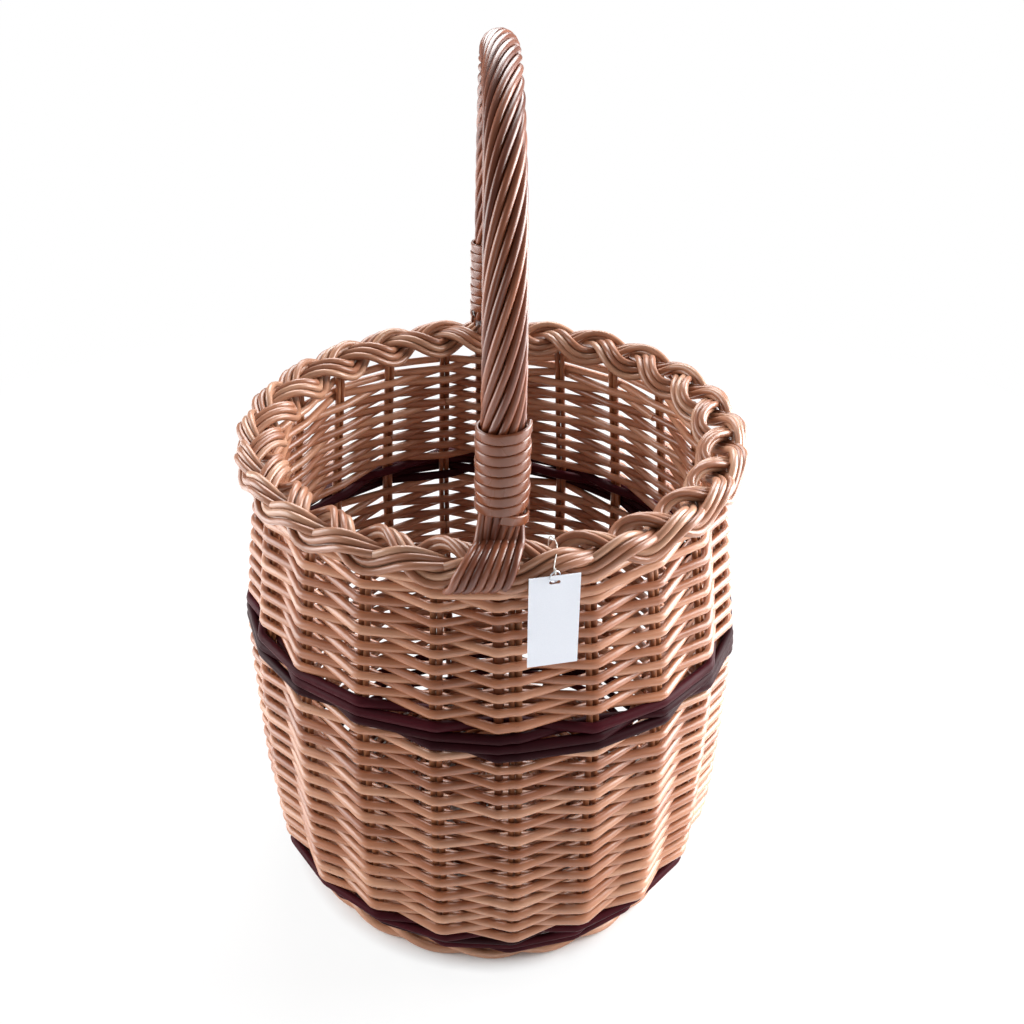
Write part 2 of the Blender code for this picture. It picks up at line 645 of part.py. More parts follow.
def make_tag():
    """A card on a ring on a loop of string round the border."""
    outward = around(TAG_ANGLE, 1.0, 0.0)
    along = around(TAG_ANGLE + math.pi / 2.0, 1.0, 0.0)
    up = Vector((0.0, 0.0, 1.0))
    over = BORDER_SWING + (BORDER_STRAND + STRING) / 2.0
    high = BORDER_RISE + (BORDER_STRAND + STRING) / 2.0
    plane = BORDER_RADIUS + BORDER_SWING + BORDER_STRAND / 2.0 + TAG_OFFSET
    hook = BORDER_HEIGHT + BORDER_RISE
    points = []
    for degrees in range(40, 361, 20):
        angle = math.radians(degrees)
        place = outward * (BORDER_RADIUS + over * math.cos(angle))
        points.append(place + up * (BORDER_HEIGHT + high * math.sin(angle)))
    near = plane - STRING_BEND
    far = plane + STRING_BEND
    for degrees in range(180, 0, -36):
        angle = math.radians(degrees)
        place = outward * (near - STRING_BEND + STRING_BEND * math.cos(angle))
        points.append(place + up * (hook - 3.0 * STRING + STRING_BEND * math.sin(angle)))
    for degrees in range(180, 361, 36):
        angle = math.radians(degrees)
        place = outward * (plane + STRING_BEND * math.cos(angle))
        points.append(place + up * (hook - 3.0 * STRING + STRING_BEND * math.sin(angle)))
    points.append(outward * far + up * (hook + STRING))
    tube("tag_string", points, STRING / 2.0, THREAD)
    contact = hook - 3.0 * STRING - STRING_BEND + STRING / 2.0
    top = contact + SEAT + RING_WIRE / 2.0
    pivot = outward * plane + up * top
    ring_height = -RING_RADIUS
    bpy.ops.mesh.primitive_torus_add(
        major_segments=16, minor_segments=4, major_radius=RING_RADIUS, minor_radius=RING_WIRE / 2.0
    )
    ring = bpy.context.active_object
    ring.name = "tag_ring"
    for vertex in ring.data.vertices:
        across, depth = vertex.co.x, vertex.co.z
        vertex.co = Vector((across, -depth, vertex.co.y + ring_height))
    ring.data.shade_smooth()
    ring.data.materials.append(material("tag_ring", STEEL))
    ring.location = pivot
    ring.rotation_euler = (0.0, 0.0, TAG_ANGLE + RING_TURN)
    hang = top - 2.0 * RING_RADIUS
    slot_top = hang + RING_WIRE / 2.0 + SEAT
    card_top = slot_top + TAG_SLOT_MARGIN
    shape = bmesh.new()
    outline = []
    for x, z in ((-1, -TAG_LENGTH), (1, -TAG_LENGTH), (1, 0.0), (-1, 0.0)):
        outline.append(shape.verts.new((x * TAG_WIDTH / 2.0, -TAG_THICKNESS / 2.0, z + card_top - hang)))
    face = shape.faces.new(outline)
    moved = bmesh.ops.extrude_face_region(shape, geom=[face])["geom"]
    corners = [part for part in moved if isinstance(part, bmesh.types.BMVert)]
    bmesh.ops.translate(shape, verts=corners, vec=(0.0, TAG_THICKNESS, 0.0))
    card = mesh_object("tag_card", shape, CARD_WHITE)
    card.location = outward * plane + up * hang
    card.rotation_euler = (0.0, 0.0, TAG_ANGLE)
    slot = bmesh.new()
    side = []
    run = TAG_SLOT_WIDTH / 2.0 - TAG_SLOT_HEIGHT / 2.0
    for step in range(12):
        angle = TURN * (step + 0.5) / 12
        x = TAG_SLOT_HEIGHT / 2.0 * math.cos(angle) + math.copysign(run, math.cos(angle))
        z = slot_top - hang - TAG_SLOT_HEIGHT / 2.0 + TAG_SLOT_HEIGHT / 2.0 * math.sin(angle)
        side.append(slot.verts.new((x, -TAG_THICKNESS, z)))
    moved = bmesh.ops.extrude_face_region(slot, geom=[slot.faces.new(side)])["geom"]
    corners = [part for part in moved if isinstance(part, bmesh.types.BMVert)]
    bmesh.ops.translate(slot, verts=corners, vec=(0.0, 2.0 * TAG_THICKNESS, 0.0))
    cutter = mesh_object("tag_slot_cutter", slot, CARD_WHITE)
    cutter.location = card.location
    cutter.rotation_euler = card.rotation_euler
    cutter.hide_render = True
    cutter.display_type = "WIRE"
    cut = card.modifiers.new("slot", "BOOLEAN")
    cut.object = cutter
    cut.operation = "DIFFERENCE"
    cut.solver = "EXACT"
    for name, place in (("tag pivot", pivot), ("card hinge", card.location)):
        print(name, tuple(round(v, 5) for v in place))


def main():
    for obj in list(bpy.data.objects):
        bpy.data.objects.remove(obj)
    make_foot()
    make_base()
    make_stakes()
    make_weave()
    make_border()
    make_bow()
    make_roping()
    make_bindings()
    make_tag()


main()
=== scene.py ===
"""Looks of a round willow shopping basket with a plaited border, a roped bow handle and a swing tag.

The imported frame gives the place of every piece; each piece here stands for one of its nodes.
Lengths are in metres unless a name ends in _mm, and angles are in radians.
"""

import logging
import math
import random
from dataclasses import dataclass, field
from enum import Enum
from typing import Any, Optional, Sequence

import bmesh
import bpy
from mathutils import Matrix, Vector


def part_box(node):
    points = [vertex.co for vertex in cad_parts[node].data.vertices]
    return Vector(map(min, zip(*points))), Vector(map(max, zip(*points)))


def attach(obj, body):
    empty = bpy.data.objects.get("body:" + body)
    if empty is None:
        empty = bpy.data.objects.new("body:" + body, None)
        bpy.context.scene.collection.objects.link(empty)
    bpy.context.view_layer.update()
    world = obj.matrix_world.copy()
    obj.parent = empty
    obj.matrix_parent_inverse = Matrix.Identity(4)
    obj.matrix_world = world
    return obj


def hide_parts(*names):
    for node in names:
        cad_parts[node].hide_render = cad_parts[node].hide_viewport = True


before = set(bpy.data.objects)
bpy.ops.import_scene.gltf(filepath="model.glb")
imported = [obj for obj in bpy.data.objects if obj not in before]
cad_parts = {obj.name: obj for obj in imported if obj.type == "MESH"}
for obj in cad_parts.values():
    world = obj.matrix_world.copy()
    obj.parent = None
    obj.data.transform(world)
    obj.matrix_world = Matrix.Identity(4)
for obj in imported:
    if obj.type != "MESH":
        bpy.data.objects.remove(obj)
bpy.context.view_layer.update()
LOG = logging.getLogger("basket")
TURN = 2.0 * math.pi
MM = 0.001
UP = Vector((0.0, 0.0, 1.0))
RIGHT = Vector((1.0, 0.0, 0.0))
BACKWARD = Vector((0.0, 1.0, 0.0))
WHITE = "#FFFFFF"
CREASE = math.radians(55.0)
PATTERN_SHIFT = 0.37


class Weave(Enum):
    """How many stakes a rod passes outside before it goes inside one."""

    RANDING = 1
    WALE = 3


class Place(Enum):
    """Which end of the handle a piece belongs to."""

    FRONT = -1
    BACK = 1


def linear(hex_colour: str) -> tuple[float, float, float, float]:
    """Turns an sRGB hex colour to linear.

    Args:
        hex_colour: Six hex digits with a leading hash.

    Returns:
        Red, green, blue and an alpha of 1.
    """
    values = [int(hex_colour[at : at + 2], 16) / 255.0 for at in (1, 3, 5)]
    found = [v / 12.92 if v <= 0.04045 else ((v + 0.055) / 1.055) ** 2.4 for v in values]
    return (found[0], found[1], found[2], 1.0)


def add_node(
    tree: bpy.types.NodeTree,
    kind: str,
    settings: Optional[dict[str, Any]] = None,
    values: Optional[dict[Any, Any]] = None,
    links: Optional[dict[Any, bpy.types.NodeSocket]] = None,
) -> bpy.types.Node:
    """Adds a node with its settings, socket values and links.

    Args:
        tree: The node tree that takes the node.
        kind: The node's type name.
        settings: Properties of the node.
        values: Default values by input name or index.
        links: Sockets of other nodes by input name or index.

    Returns:
        The new node.
    """
    node = tree.nodes.new(kind)
    for key, value in (settings or {}).items():
        setattr(node, key, value)
    for key, value in (values or {}).items():
        node.inputs[key].default_value = value
    for key, socket in (links or {}).items():
        tree.links.new(socket, node.inputs[key])
    return node


@dataclass(frozen=True)
class Finish:
    """A named finish, which fills a new material with its own nodes."""

    name: str

    def material(self) -> bpy.types.Material:
        """Builds the finish.

        Returns:
            The new material.
        """
        made = bpy.data.materials.new(self.name)
        made.use_nodes = True
        self.fill(made.node_tree, made.node_tree.nodes["Principled BSDF"])
        return made

    def fill(self, tree: bpy.types.NodeTree, shader: bpy.types.Node) -> None:
        """Adds the finish's nodes.

        Args:
            tree: The material's node tree.
            shader: Its shader, which takes the nodes and the constants.
        """
        raise NotImplementedError


@dataclass(frozen=True)
class WillowFinish(Finish):
    """Peeled willow rod: fine grain along the rod, blotches, dark specks and a satin coat."""

    shades: tuple[str, str, str]
    blotch: str
    speck: str
    roughness: float = 0.38
    coat: float = 0.3
    specular: float = 0.5
    blotch_share: float = 0.35
    speck_share: float = 0.75
    grain_share: float = 0.34
    grain_mm: tuple[float, float] = (26.0, 0.55)
    blotch_mm: tuple[float, float] = (32.0, 6.4)
    speck_mm: tuple[float, float] = (6.4, 3.2)
    grain_depth: float = 0.12 * MM
    shade_stops: tuple[float, float, float] = (0.12, 0.55, 1.0)

    def fill(self, tree: bpy.types.NodeTree, shader: bpy.types.Node) -> None:
        """Adds the nodes, which read the rod's own run, section and tone attributes.

        Args:
            tree: The material's node tree.
            shader: Its shader.
        """
        run = add_node(tree, "ShaderNodeAttribute", {"attribute_name": "rod_run"})
        tone = add_node(tree, "ShaderNodeAttribute", {"attribute_name": "rod_tone"})
        # Each pattern has a size along the rod and one across it; grain is many times longer than it is wide
        noises = []
        for (along, across), values in (
            (self.grain_mm, {"Detail": 3.0, "Roughness": 0.6}),
            (self.blotch_mm, {"Detail": 2.0}),
            (self.speck_mm, {"Detail": 4.0, "Roughness": 0.75}),
        ):
            scale = (1000.0 / along, 1000.0 / across, 1000.0 / across)
            place = add_node(tree, "ShaderNodeMapping", {}, {"Scale": scale}, {"Vector": run.outputs["Vector"]})
            values["Scale"] = 1.0
            noise = add_node(tree, "ShaderNodeTexNoise", {}, values, {"Vector": place.outputs["Vector"]})
            noises.append(noise.outputs["Fac"])
        grain, blotch, specks = noises
        settings = {"operation": "MULTIPLY_ADD"}
        mixed = add_node(tree, "ShaderNodeMath", settings, {1: self.grain_share}, {0: grain, 2: tone.outputs["Fac"]})
        ramp = add_node(tree, "ShaderNodeValToRGB", links={"Fac": mixed.outputs[0]})
        ramp.color_ramp.elements.new(0.5)
        for element, stop, shade in zip(ramp.color_ramp.elements, self.shade_stops, self.shades):
            element.position = stop
            element.color = linear(shade)
        colour = ramp.outputs["Color"]
        for noise, low, high, share, tint in (
            (blotch, 0.45, 0.75, self.blotch_share, self.blotch),
            (specks, 0.66, 0.74, self.speck_share, self.speck),
        ):
            reach = add_node(tree, "ShaderNodeMapRange", {}, {1: low, 2: high, 3: 0.0, 4: share}, {0: noise})
            links = {0: reach.outputs[0], 6: colour}
            colour = add_node(tree, "ShaderNodeMix", {"data_type": "RGBA"}, {7: linear(tint)}, links).outputs[2]
        tree.links.new(colour, shader.inputs["Base Color"])
        values = {1: 0.3, 2: 0.7, 3: self.roughness - 0.06, 4: self.roughness + 0.1}
        rough = add_node(tree, "ShaderNodeMapRange", {}, values, {0: blotch})
        tree.links.new(rough.outputs[0], shader.inputs["Roughness"])
        values = {"Strength": 0.35, "Distance": self.grain_depth}
        bump = add_node(tree, "ShaderNodeBump", {}, values, {"Height": grain})
        tree.links.new(bump.outputs["Normal"], shader.inputs["Normal"])
        shader.inputs["IOR"].default_value = 1.5
        shader.inputs["Coat Weight"].default_value = self.coat
        shader.inputs["Coat Roughness"].default_value = 0.22
        shader.inputs["Specular IOR Level"].default_value = self.specular


@dataclass(frozen=True)
class CardFinish(Finish):
    """Uncoated tag card: pale bluish white, with faint fibres."""

    name: str = "pale_uncoated_card"
    colour: str = "#E9ECF4"
    fibre: str = "#DDE2EC"
    fibre_mm: float = 0.6
    fibre_depth: float = 0.03 * MM

    def fill(self, tree: bpy.types.NodeTree, shader: bpy.types.Node) -> None:
        """Adds the fibres, in Object coordinates.

        Args:
            tree: The material's node tree.
            shader: Its shader.
        """
        place = add_node(tree, "ShaderNodeTexCoord").outputs["Object"]
        values = {"Scale": 1000.0 / self.fibre_mm, "Detail": 4.0}
        fibres = add_node(tree, "ShaderNodeTexNoise", {}, values, {"Vector": place}).outputs["Fac"]
        values = {6: linear(self.colour), 7: linear(self.fibre)}
        mix = add_node(tree, "ShaderNodeMix", {"data_type": "RGBA"}, values, {0: fibres})
        tree.links.new(mix.outputs[2], shader.inputs["Base Color"])
        values = {"Strength": 0.2, "Distance": self.fibre_depth}
        bump = add_node(tree, "ShaderNodeBump", {}, values, {"Height": fibres})
        tree.links.new(bump.outputs["Normal"], shader.inputs["Normal"])
        shader.inputs["Roughness"].default_value = 0.62


@dataclass(frozen=True)
class WireFinish(Finish):
    """Drawn steel wire: bright, with fine drawing marks."""

    name: str = "drawn_steel_wire"
    colour: str = "#B9BCC2"
    mark_mm: float = 0.25

    def fill(self, tree: bpy.types.NodeTree, shader: bpy.types.Node) -> None:
        """Adds the drawing marks, in Object coordinates.

        Args:
            tree: The material's node tree.
            shader: Its shader.
        """
        place = add_node(tree, "ShaderNodeTexCoord").outputs["Object"]
        values = {"Scale": 1000.0 / self.mark_mm, "Detail": 2.0}
        marks = add_node(tree, "ShaderNodeTexNoise", {}, values, {"Vector": place})
        rough = add_node(tree, "ShaderNodeMapRange", {}, {3: 0.22, 4: 0.4}, {0: marks.outputs["Fac"]})
        tree.links.new(rough.outputs[0], shader.inputs["Roughness"])
        shader.inputs["Base Color"].default_value = linear(self.colour)
        shader.inputs["Metallic"].default_value = 1.0


@dataclass(frozen=True)
class ThreadFinish(Finish):
    """Twisted cotton thread: matt off-white, with slanted plies whose darker bands are painted shade in the twist's
    grooves.
    """

    name: str = "twisted_cotton_thread"
    colour: str = "#EDEAE4"
    # Darker colour of the bands between the plies: painted shade in the grooves of the twist
    shade: str = "#BDB8B0"
    ply_mm: float = 0.9

    def fill(self, tree: bpy.types.NodeTree, shader: bpy.types.Node) -> None:
        """Adds the plies, which read the thread's own run attribute.

        Args:
            tree: The material's node tree.
            shader: Its shader.
        """
        run = add_node(tree, "ShaderNodeAttribute", {"attribute_name": "rod_run"}).outputs["Vector"]
        values = {"Scale": 1000.0 / self.ply_mm / TURN, "Distortion": 0.4}
        plies = add_node(tree, "ShaderNodeTexWave", {"bands_direction": "DIAGONAL"}, values, {"Vector": run})
        values = {6: linear(self.shade), 7: linear(self.colour)}
        mix = add_node(tree, "ShaderNodeMix", {"data_type": "RGBA"}, values, {0: plies.outputs["Fac"]})
        tree.links.new(mix.outputs[2], shader.inputs["Base Color"])
        shader.inputs["Roughness"].default_value = 0.85
        shader.inputs["Sheen Weight"].default_value = 0.3


# Steamed and peeled willow: warm tan with a pink cast, paler where the rod is young
NATURAL = WillowFinish("peeled_willow_natural", ("#723B23", "#A36949", "#BF8D6F"), "#874926", "#431E10")
# The border's rods are the stakes' thinner ends, painted darker than the wall's rods as painted shade for the plait's
# shaded front
BORDER_WILLOW = WillowFinish("border_willow_painted_shade", ("#703F29", "#98654A", "#AF8469"), "#824B2A", "#412013")
# Stakes, base sticks and bow keep more of the bark's colour, and are painted darker still as painted shade, because
# they lie in the shade of the weave
SHADED = WillowFinish("peeled_willow_painted_shade", ("#60311C", "#895334", "#A5704D"), "#6C391D", "#37190D")
# Willow dyed dark maroon in the vat: matt, and the grain shows only as a change of depth
MAROON = WillowFinish(
    "maroon_dyed_willow", ("#1D070B", "#2B0A10", "#49171F"), "#1E070B", "#100406",
    roughness=0.45, coat=0.0, specular=0.06, blotch_share=0.5,
)
# Split cane with its glossy outer skin, for the bindings
CANE = WillowFinish(
    "split_cane_skin", ("#562410", "#6C371D", "#784328"), "#5A2912", "#351506", roughness=0.26, coat=0.35
)
# The handle's rods are smooth and browner, and painted darker as painted shade for the deep grooves between them
ROPED = WillowFinish(
    "handle_willow_painted_groove_shade", ("#4F2012", "#6E3922", "#864D33"), "#5A2914", "#2A0F05", roughness=0.34, coat=0.18
)


@dataclass
class Rod:
    """One round rod: its line, radius at each point, and tone from 0 to 1."""

    points: list[Vector]
    radii: list[float]
    tone: float
    closed: bool = False


def smooth_line(points: Sequence[Vector], steps: int) -> list[Vector]:
    """Passes a smooth curve through points.

    Args:
        points: Points that the curve goes through.
        steps: Pieces that each stretch is cut into.

    Returns:
        The points of the smooth curve.
    """
    led = [points[0] * 2.0 - points[1], *points, points[-1] * 2.0 - points[-2]]
    found: list[Vector] = []
    for before, one, two, after in zip(led, led[1:], led[2:], led[3:]):
        for step in range(steps):
            t = step / steps
            square = (2.0 * before - 5.0 * one + 4.0 * two - after) * t**2
            cube = (3.0 * one - before - 3.0 * two + after) * t**3
            found.append(0.5 * (2.0 * one + (two - before) * t + square + cube))
    return found + [points[-1].copy()]


def taper(count: int, butt: float, tip: float) -> list[float]:
    """Radii that fall evenly from a butt to a tip."""
    return [butt + (tip - butt) * at / max(count - 1, 1) for at in range(count)]


def eased(share: float) -> float:
    """A share from 0 to 1 that starts and ends softly."""
    return share * share * (3.0 - 2.0 * share)


def link_mesh(name: str, mesh: bpy.types.Mesh) -> bpy.types.Object:
    """Puts a mesh in the scene as an object at the origin."""
    obj = bpy.data.objects.new(name, mesh)
    bpy.context.scene.collection.objects.link(obj)
    return obj


def dress(obj: bpy.types.Object, finish: bpy.types.Material, body: str, nodes: Sequence[str]) -> None:
    """Gives a piece its finish and its place in the frame.

    Args:
        obj: The piece.
        finish: Its material.
        body: The body that it rides on.
        nodes: The nodes that it stands for.
    """
    obj.data.materials.clear()
    obj.data.materials.append(finish)
    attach(obj, body)
    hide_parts(*nodes)
    LOG.info("%s: %d faces on %s", obj.name, len(obj.data.polygons), body)


def rods_object(name: str, rods: Sequence[Rod], resolution: int = 4, strip: float = 0.0) -> bpy.types.Object:
    """Turns rods into one mesh object whose attributes follow each rod.

    Args:
        name: The object's name.
        rods: The rods.
        resolution: Bevel resolution: a section has 4 sides and 2 more for each step.
        strip: Half of the flat width of a strip, or 0 for a round rod.

    Returns:
        The object, closed at each rod's ends.
    """
    curve = bpy.data.curves.new(name + "_line", "CURVE")
    curve.dimensions = "3D"
    curve.twist_mode = "Z_UP" if strip else "MINIMUM"
    thickness = rods[0].radii[0]
    curve.bevel_depth = thickness if strip else 1.0
    curve.bevel_resolution = resolution
    curve.extrude = strip
    for rod in rods:
        spline = curve.splines.new("POLY")
        spline.points.add(len(rod.points) - 1)
        for place, point, radius in zip(spline.points, rod.points, rod.radii):
            place.co = (*point, 1.0)
            place.radius = radius / thickness if strip else radius
        spline.use_cyclic_u = rod.closed
    holder = bpy.data.objects.new(name + "_line", curve)
    bpy.context.scene.collection.objects.link(holder)
    graph = bpy.context.evaluated_depsgraph_get()
    mesh = bpy.data.meshes.new_from_object(holder.evaluated_get(graph))
    bpy.data.objects.remove(holder)
    bpy.data.curves.remove(curve)
    mesh.name = name
    sides = len(mesh.vertices) // sum(len(rod.points) for rod in rods)
    run: list[float] = []
    tones: list[float] = []
    for number, rod in enumerate(rods):
        # Each rod's pattern starts at its own place
        length = PATTERN_SHIFT * number
        for at, (point, radius) in enumerate(zip(rod.points, rod.radii)):
            length += (point - rod.points[at - 1]).length if at else 0.0
            for side in range(sides):
                angle = TURN * side / sides
                run += [length, radius * math.cos(angle), radius * math.sin(angle)]
                tones.append(rod.tone)
    mesh.attributes.new("rod_run", "FLOAT_VECTOR", "POINT").data.foreach_set("vector", run)
    mesh.attributes.new("rod_tone", "FLOAT", "POINT").data.foreach_set("value", tones)
    shape = bmesh.new()
    shape.from_mesh(mesh)
    bmesh.ops.holes_fill(shape, edges=[edge for edge in shape.edges if edge.is_boundary], sides=0)
    bmesh.ops.recalc_face_normals(shape, faces=shape.faces)
    shape.to_mesh(mesh)
    shape.free()
    mesh.shade_smooth()
    mesh.set_sharp_from_angle(angle=CREASE)
    return link_mesh(name, mesh)


def around(angle: float, radius: float, height: float) -> Vector:
    """A point of the basket: angle 0 is the front, -Y, and it grows towards +X."""
    return Vector((radius * math.sin(angle), -radius * math.cos(angle), height))


@dataclass
class Wall:
    """The line of the stakes, which every other sub-assembly of the basket takes its place from."""

    stakes: int = 21
    first_angle: float = math.radians(2.75)
    radius: float = 0.1648
    height: float = 0.33625
    height_shares: tuple[float, ...] = (0.0, 0.05, 0.101, 0.119, 0.178, 0.30, 0.61, 0.73, 1.0)
    radius_shares: tuple[float, ...] = (0.834, 0.876, 0.918, 0.950, 0.970, 0.987, 0.995, 0.974, 0.8985)
    bow_steps: tuple[float, float] = (-0.212, 10.385)

    def radius_at(self, height: float) -> float:
        """Radius of the stakes' line.

        Args:
            height: Height above the ground.

        Returns:
            The radius, on a smooth curve through the named shares.
        """
        share = min(max(height / self.height, 0.0), 1.0)
        last = len(self.height_shares) - 1
        at = 0
        while at < last - 1 and share > self.height_shares[at + 1]:
            at += 1
        low, high = self.height_shares[at], self.height_shares[at + 1]
        t = (share - low) / (high - low)
        slopes = []
        for before, after in ((max(at - 1, 0), at + 1), (at, min(at + 2, last))):
            rise = self.radius_shares[after] - self.radius_shares[before]
            slopes.append(rise / (self.height_shares[after] - self.height_shares[before]) * (high - low))
        value = (
            (2.0 * t**3 - 3.0 * t**2 + 1.0) * self.radius_shares[at]
            + (t**3 - 2.0 * t**2 + t) * slopes[0]
            + (-2.0 * t**3 + 3.0 * t**2) * self.radius_shares[at + 1]
            + (t**3 - t**2) * slopes[1]
        )
        return self.radius * value

    def angle_of(self, step: float) -> float:
        """Angle of a stake, counted from the first; the bow's ends lie between stakes."""
        return self.first_angle + step * TURN / self.stakes


@dataclass
class Section:
    """One band of the wall that is woven the same way."""

    node: str
    rounds: int
    weave: Weave
    finish: WillowFinish
    slot: str
    butt: float
    tip: float
    spread: float = 0.0
    start: Optional[float] = None


@dataclass
class Mark:
    """A stake, or one end of the bow, as a rod passes it at a height."""

    step: float
    side: int
    half: float
    width: float
    height: float


@dataclass
class WovenWall:
    """Stakes and the rods woven round them, from the upsett to the top wale."""

    wall: Wall
    chance: random.Random
    stake_radius: float = 2.3 * MM
    stake_wrap: float = 1.15
    stake_spacing: float = 1.01
    stake_taper: float = 0.14
    stake_samples: int = 24
    stake_top: float = 4.0 * MM
    stake_sway_mm: float = 0.15
    bow_tip_height: float = 0.160
    bow_half: tuple[float, float] = (2.4 * MM, 2.0 * MM)
    bow_wrap: float = 0.6
    clearance: float = 0.05 * MM
    sway_mm: float = 0.35
    bend: float = 0.955
    long_stretch: float = 12.0 * MM
    rod_marks: tuple[int, int] = (20, 30)
    least_marks: int = 10
    band_tilt: float = 8.0 * MM
    band_sag: float = 10.0 * MM
    tilt_heights: tuple[float, float, float] = (0.040, 0.226, 0.322)
    cad_half: float = 2.85 * MM
    sections: tuple[Section, ...] = (
        Section("upsett_wale", 4, Weave.WALE, MAROON, "dyed_willow", 3.1 * MM, 2.9 * MM, 0.15, 0.0162),
        Section("siding_lower_1", 9, Weave.RANDING, NATURAL, "willow", 3.2 * MM, 2.75 * MM, 0.0, 0.0440),
        Section("siding_lower_2", 9, Weave.RANDING, NATURAL, "willow", 3.15 * MM, 2.7 * MM),
        Section("siding_lower_3", 10, Weave.RANDING, NATURAL, "willow", 3.1 * MM, 2.65 * MM),
        Section("middle_wale_band", 4, Weave.WALE, MAROON, "dyed_willow", 3.5 * MM, 3.1 * MM, 0.333, 0.2190),
        Section("siding_upper_1", 8, Weave.RANDING, NATURAL, "willow", 3.05 * MM, 2.65 * MM, 0.0, 0.2385),
        Section("siding_upper_2", 8, Weave.RANDING, NATURAL, "willow", 3.0 * MM, 2.55 * MM),
        Section("top_wale", 2, Weave.WALE, NATURAL, "willow", 2.9 * MM, 2.5 * MM, 0.333, 0.3218),
    )
    levels: list[tuple[int, float]] = field(init=False)

    def __post_init__(self) -> None:
        """Lists the steps at which the weave changes, with their heights, and the last step of all."""
        self.levels = []
        step = 0
        for section in self.sections:
            if section.start is not None:
                self.levels.append((step, section.start))
            step += section.rounds * self.wall.stakes
        self.levels.append((step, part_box("top_wale")[1].z - self.cad_half))

    def height_of(self, step: float) -> float:
        """Height of the weave's helix at a step.

        Args:
            step: The step.

        Returns:
            The height, on a straight climb between levels.
        """
        at = 0
        while at < len(self.levels) - 2 and step > self.levels[at + 1][0]:
            at += 1
        (first, low), (last, high) = self.levels[at], self.levels[at + 1]
        return low + (high - low) * (step - first) / (last - first)

    def tilted(self, height: float, step: float) -> float:
        """Height of a row after the band's tilt and sag, which the rows below and above take up.

        Args:
            height: The row's level height.
            step: The step that gives the place round the wall.

        Returns:
            The height, lower on the right than on the left, and lower at the sides than in front.
        """
        low, middle, high = self.tilt_heights
        share = (height - low) / (middle - low) if height < middle else (high - height) / (high - middle)
        sideways = math.sin(self.wall.angle_of(step))
        return height - min(max(share, 0.0), 1.0) * (self.band_tilt * sideways + self.band_sag * sideways**2)

    def inside_near(self, step: int) -> int:
        """The step nearest to a boundary at which both a wale's and a randing's rods are inside."""
        cycle = Weave.WALE.value + 1
        return round((step - Weave.WALE.value) / cycle) * cycle + Weave.WALE.value

    def marks(self, section: Section, first: int) -> list[Mark]:
        """Everything that a section's rods pass, in order, from one place inside the wall to another.

        Args:
            section: The section.
            first: Its first step, counted from the foot.

        Returns:
            The marks.
        """
        start = self.inside_near(first)
        stop = self.inside_near(first + section.rounds * self.wall.stakes)
        front, back = self.wall.bow_steps
        found: list[Mark] = []
        for step in range(start, stop + 1):
            height = self.height_of(step)
            phase = step % (section.weave.value + 1)
            side = -1 if phase == section.weave.value else 1
            shown = self.tilted(height, step)
            if side > 0:
                shown += (phase - 1.0) * (self.height_of(step + self.wall.stakes) - height) * section.spread
            found.append(Mark(step, side, self.stake_radius, self.stake_wrap * self.stake_radius, shown))
            if height < self.bow_tip_height:
                continue
            place = step % self.wall.stakes
            climb = (height - self.bow_tip_height) / (self.wall.height - self.bow_tip_height)
            half = self.bow_half[0] + self.bow_half[1] * climb
            if place == 0 and step > start:
                found.insert(-1, Mark(step + front, side, half, half * self.bow_wrap, shown))
            if place == math.floor(back) and step < stop:
                found.append(Mark(step + back - place, side, half, half * self.bow_wrap, shown))
        return found

    def line(self, section: Section, marks: Sequence[Mark]) -> list[Vector]:
        """Points of a rod past some marks: bent round each, straight between them.

        Args:
            section: The section that the rod belongs to.
            marks: The marks that the rod passes.

        Returns:
            The points.
        """
        rod = (section.butt + section.tip) / 2.0
        points: list[Vector] = []
        for mark in marks:
            radius = self.wall.radius_at(mark.height)
            angle = self.wall.angle_of(mark.step)
            reach = mark.side * (mark.half + rod + self.clearance)
            level = mark.height + self.chance.uniform(-self.sway_mm, self.sway_mm) * MM
            spread = mark.width / radius
            near, far = (around(angle + way * spread, radius + reach * self.bend, level) for way in (-1.0, 1.0))
            if points and (near - points[-1]).length > self.long_stretch:
                points += [points[-1].lerp(near, third / 3.0) for third in (1.0, 2.0)]
            points += [near, around(angle, radius + reach, level), far]
        return points

    def rods(self, section: Section, marks: Sequence[Mark]) -> list[Rod]:
        """Cuts a section's long helix into the separate rods that a maker joins inside the wall.

        Args:
            section: The section.
            marks: All its marks.

        Returns:
            The rods, each from a butt behind one stake to a tip behind another.
        """
        stops = [0]
        inside = [at for at, mark in enumerate(marks) if mark.side < 0 and mark.step == int(mark.step)]
        while True:
            wanted = stops[-1] + self.chance.randint(*self.rod_marks)
            later = [at for at in inside if at >= wanted]
            if not later or later[0] > len(marks) - self.least_marks:
                break
            stops.append(later[0])
        stops.append(len(marks) - 1)
        made: list[Rod] = []
        for start, stop in zip(stops, stops[1:]):
            points = self.line(section, marks[start : stop + 1])
            points = points[1 if start else 0 : -1 if stop < len(marks) - 1 else None]
            if start:
                points[0] = points[0].lerp(points[1], 0.15)
            wide = self.chance.uniform(0.96, 1.05)
            radii = taper(len(points), section.butt * wide, section.tip * wide)
            made.append(Rod(points, radii, self.chance.uniform(0.12, 0.8)))
        return made

    def build(self, finishes: dict[WillowFinish, bpy.types.Material]) -> None:
        """Builds the stakes and every section.

        Args:
            finishes: Materials by finish.
        """
        first = 0
        for section in self.sections:
            obj = rods_object(section.node + "_rods", self.rods(section, self.marks(section, first)))
            dress(obj, finishes[section.finish], "basket", [section.node])
            first += section.rounds * self.wall.stakes
        for index in range(self.wall.stakes):
            self.build_stake(index, finishes[SHADED])

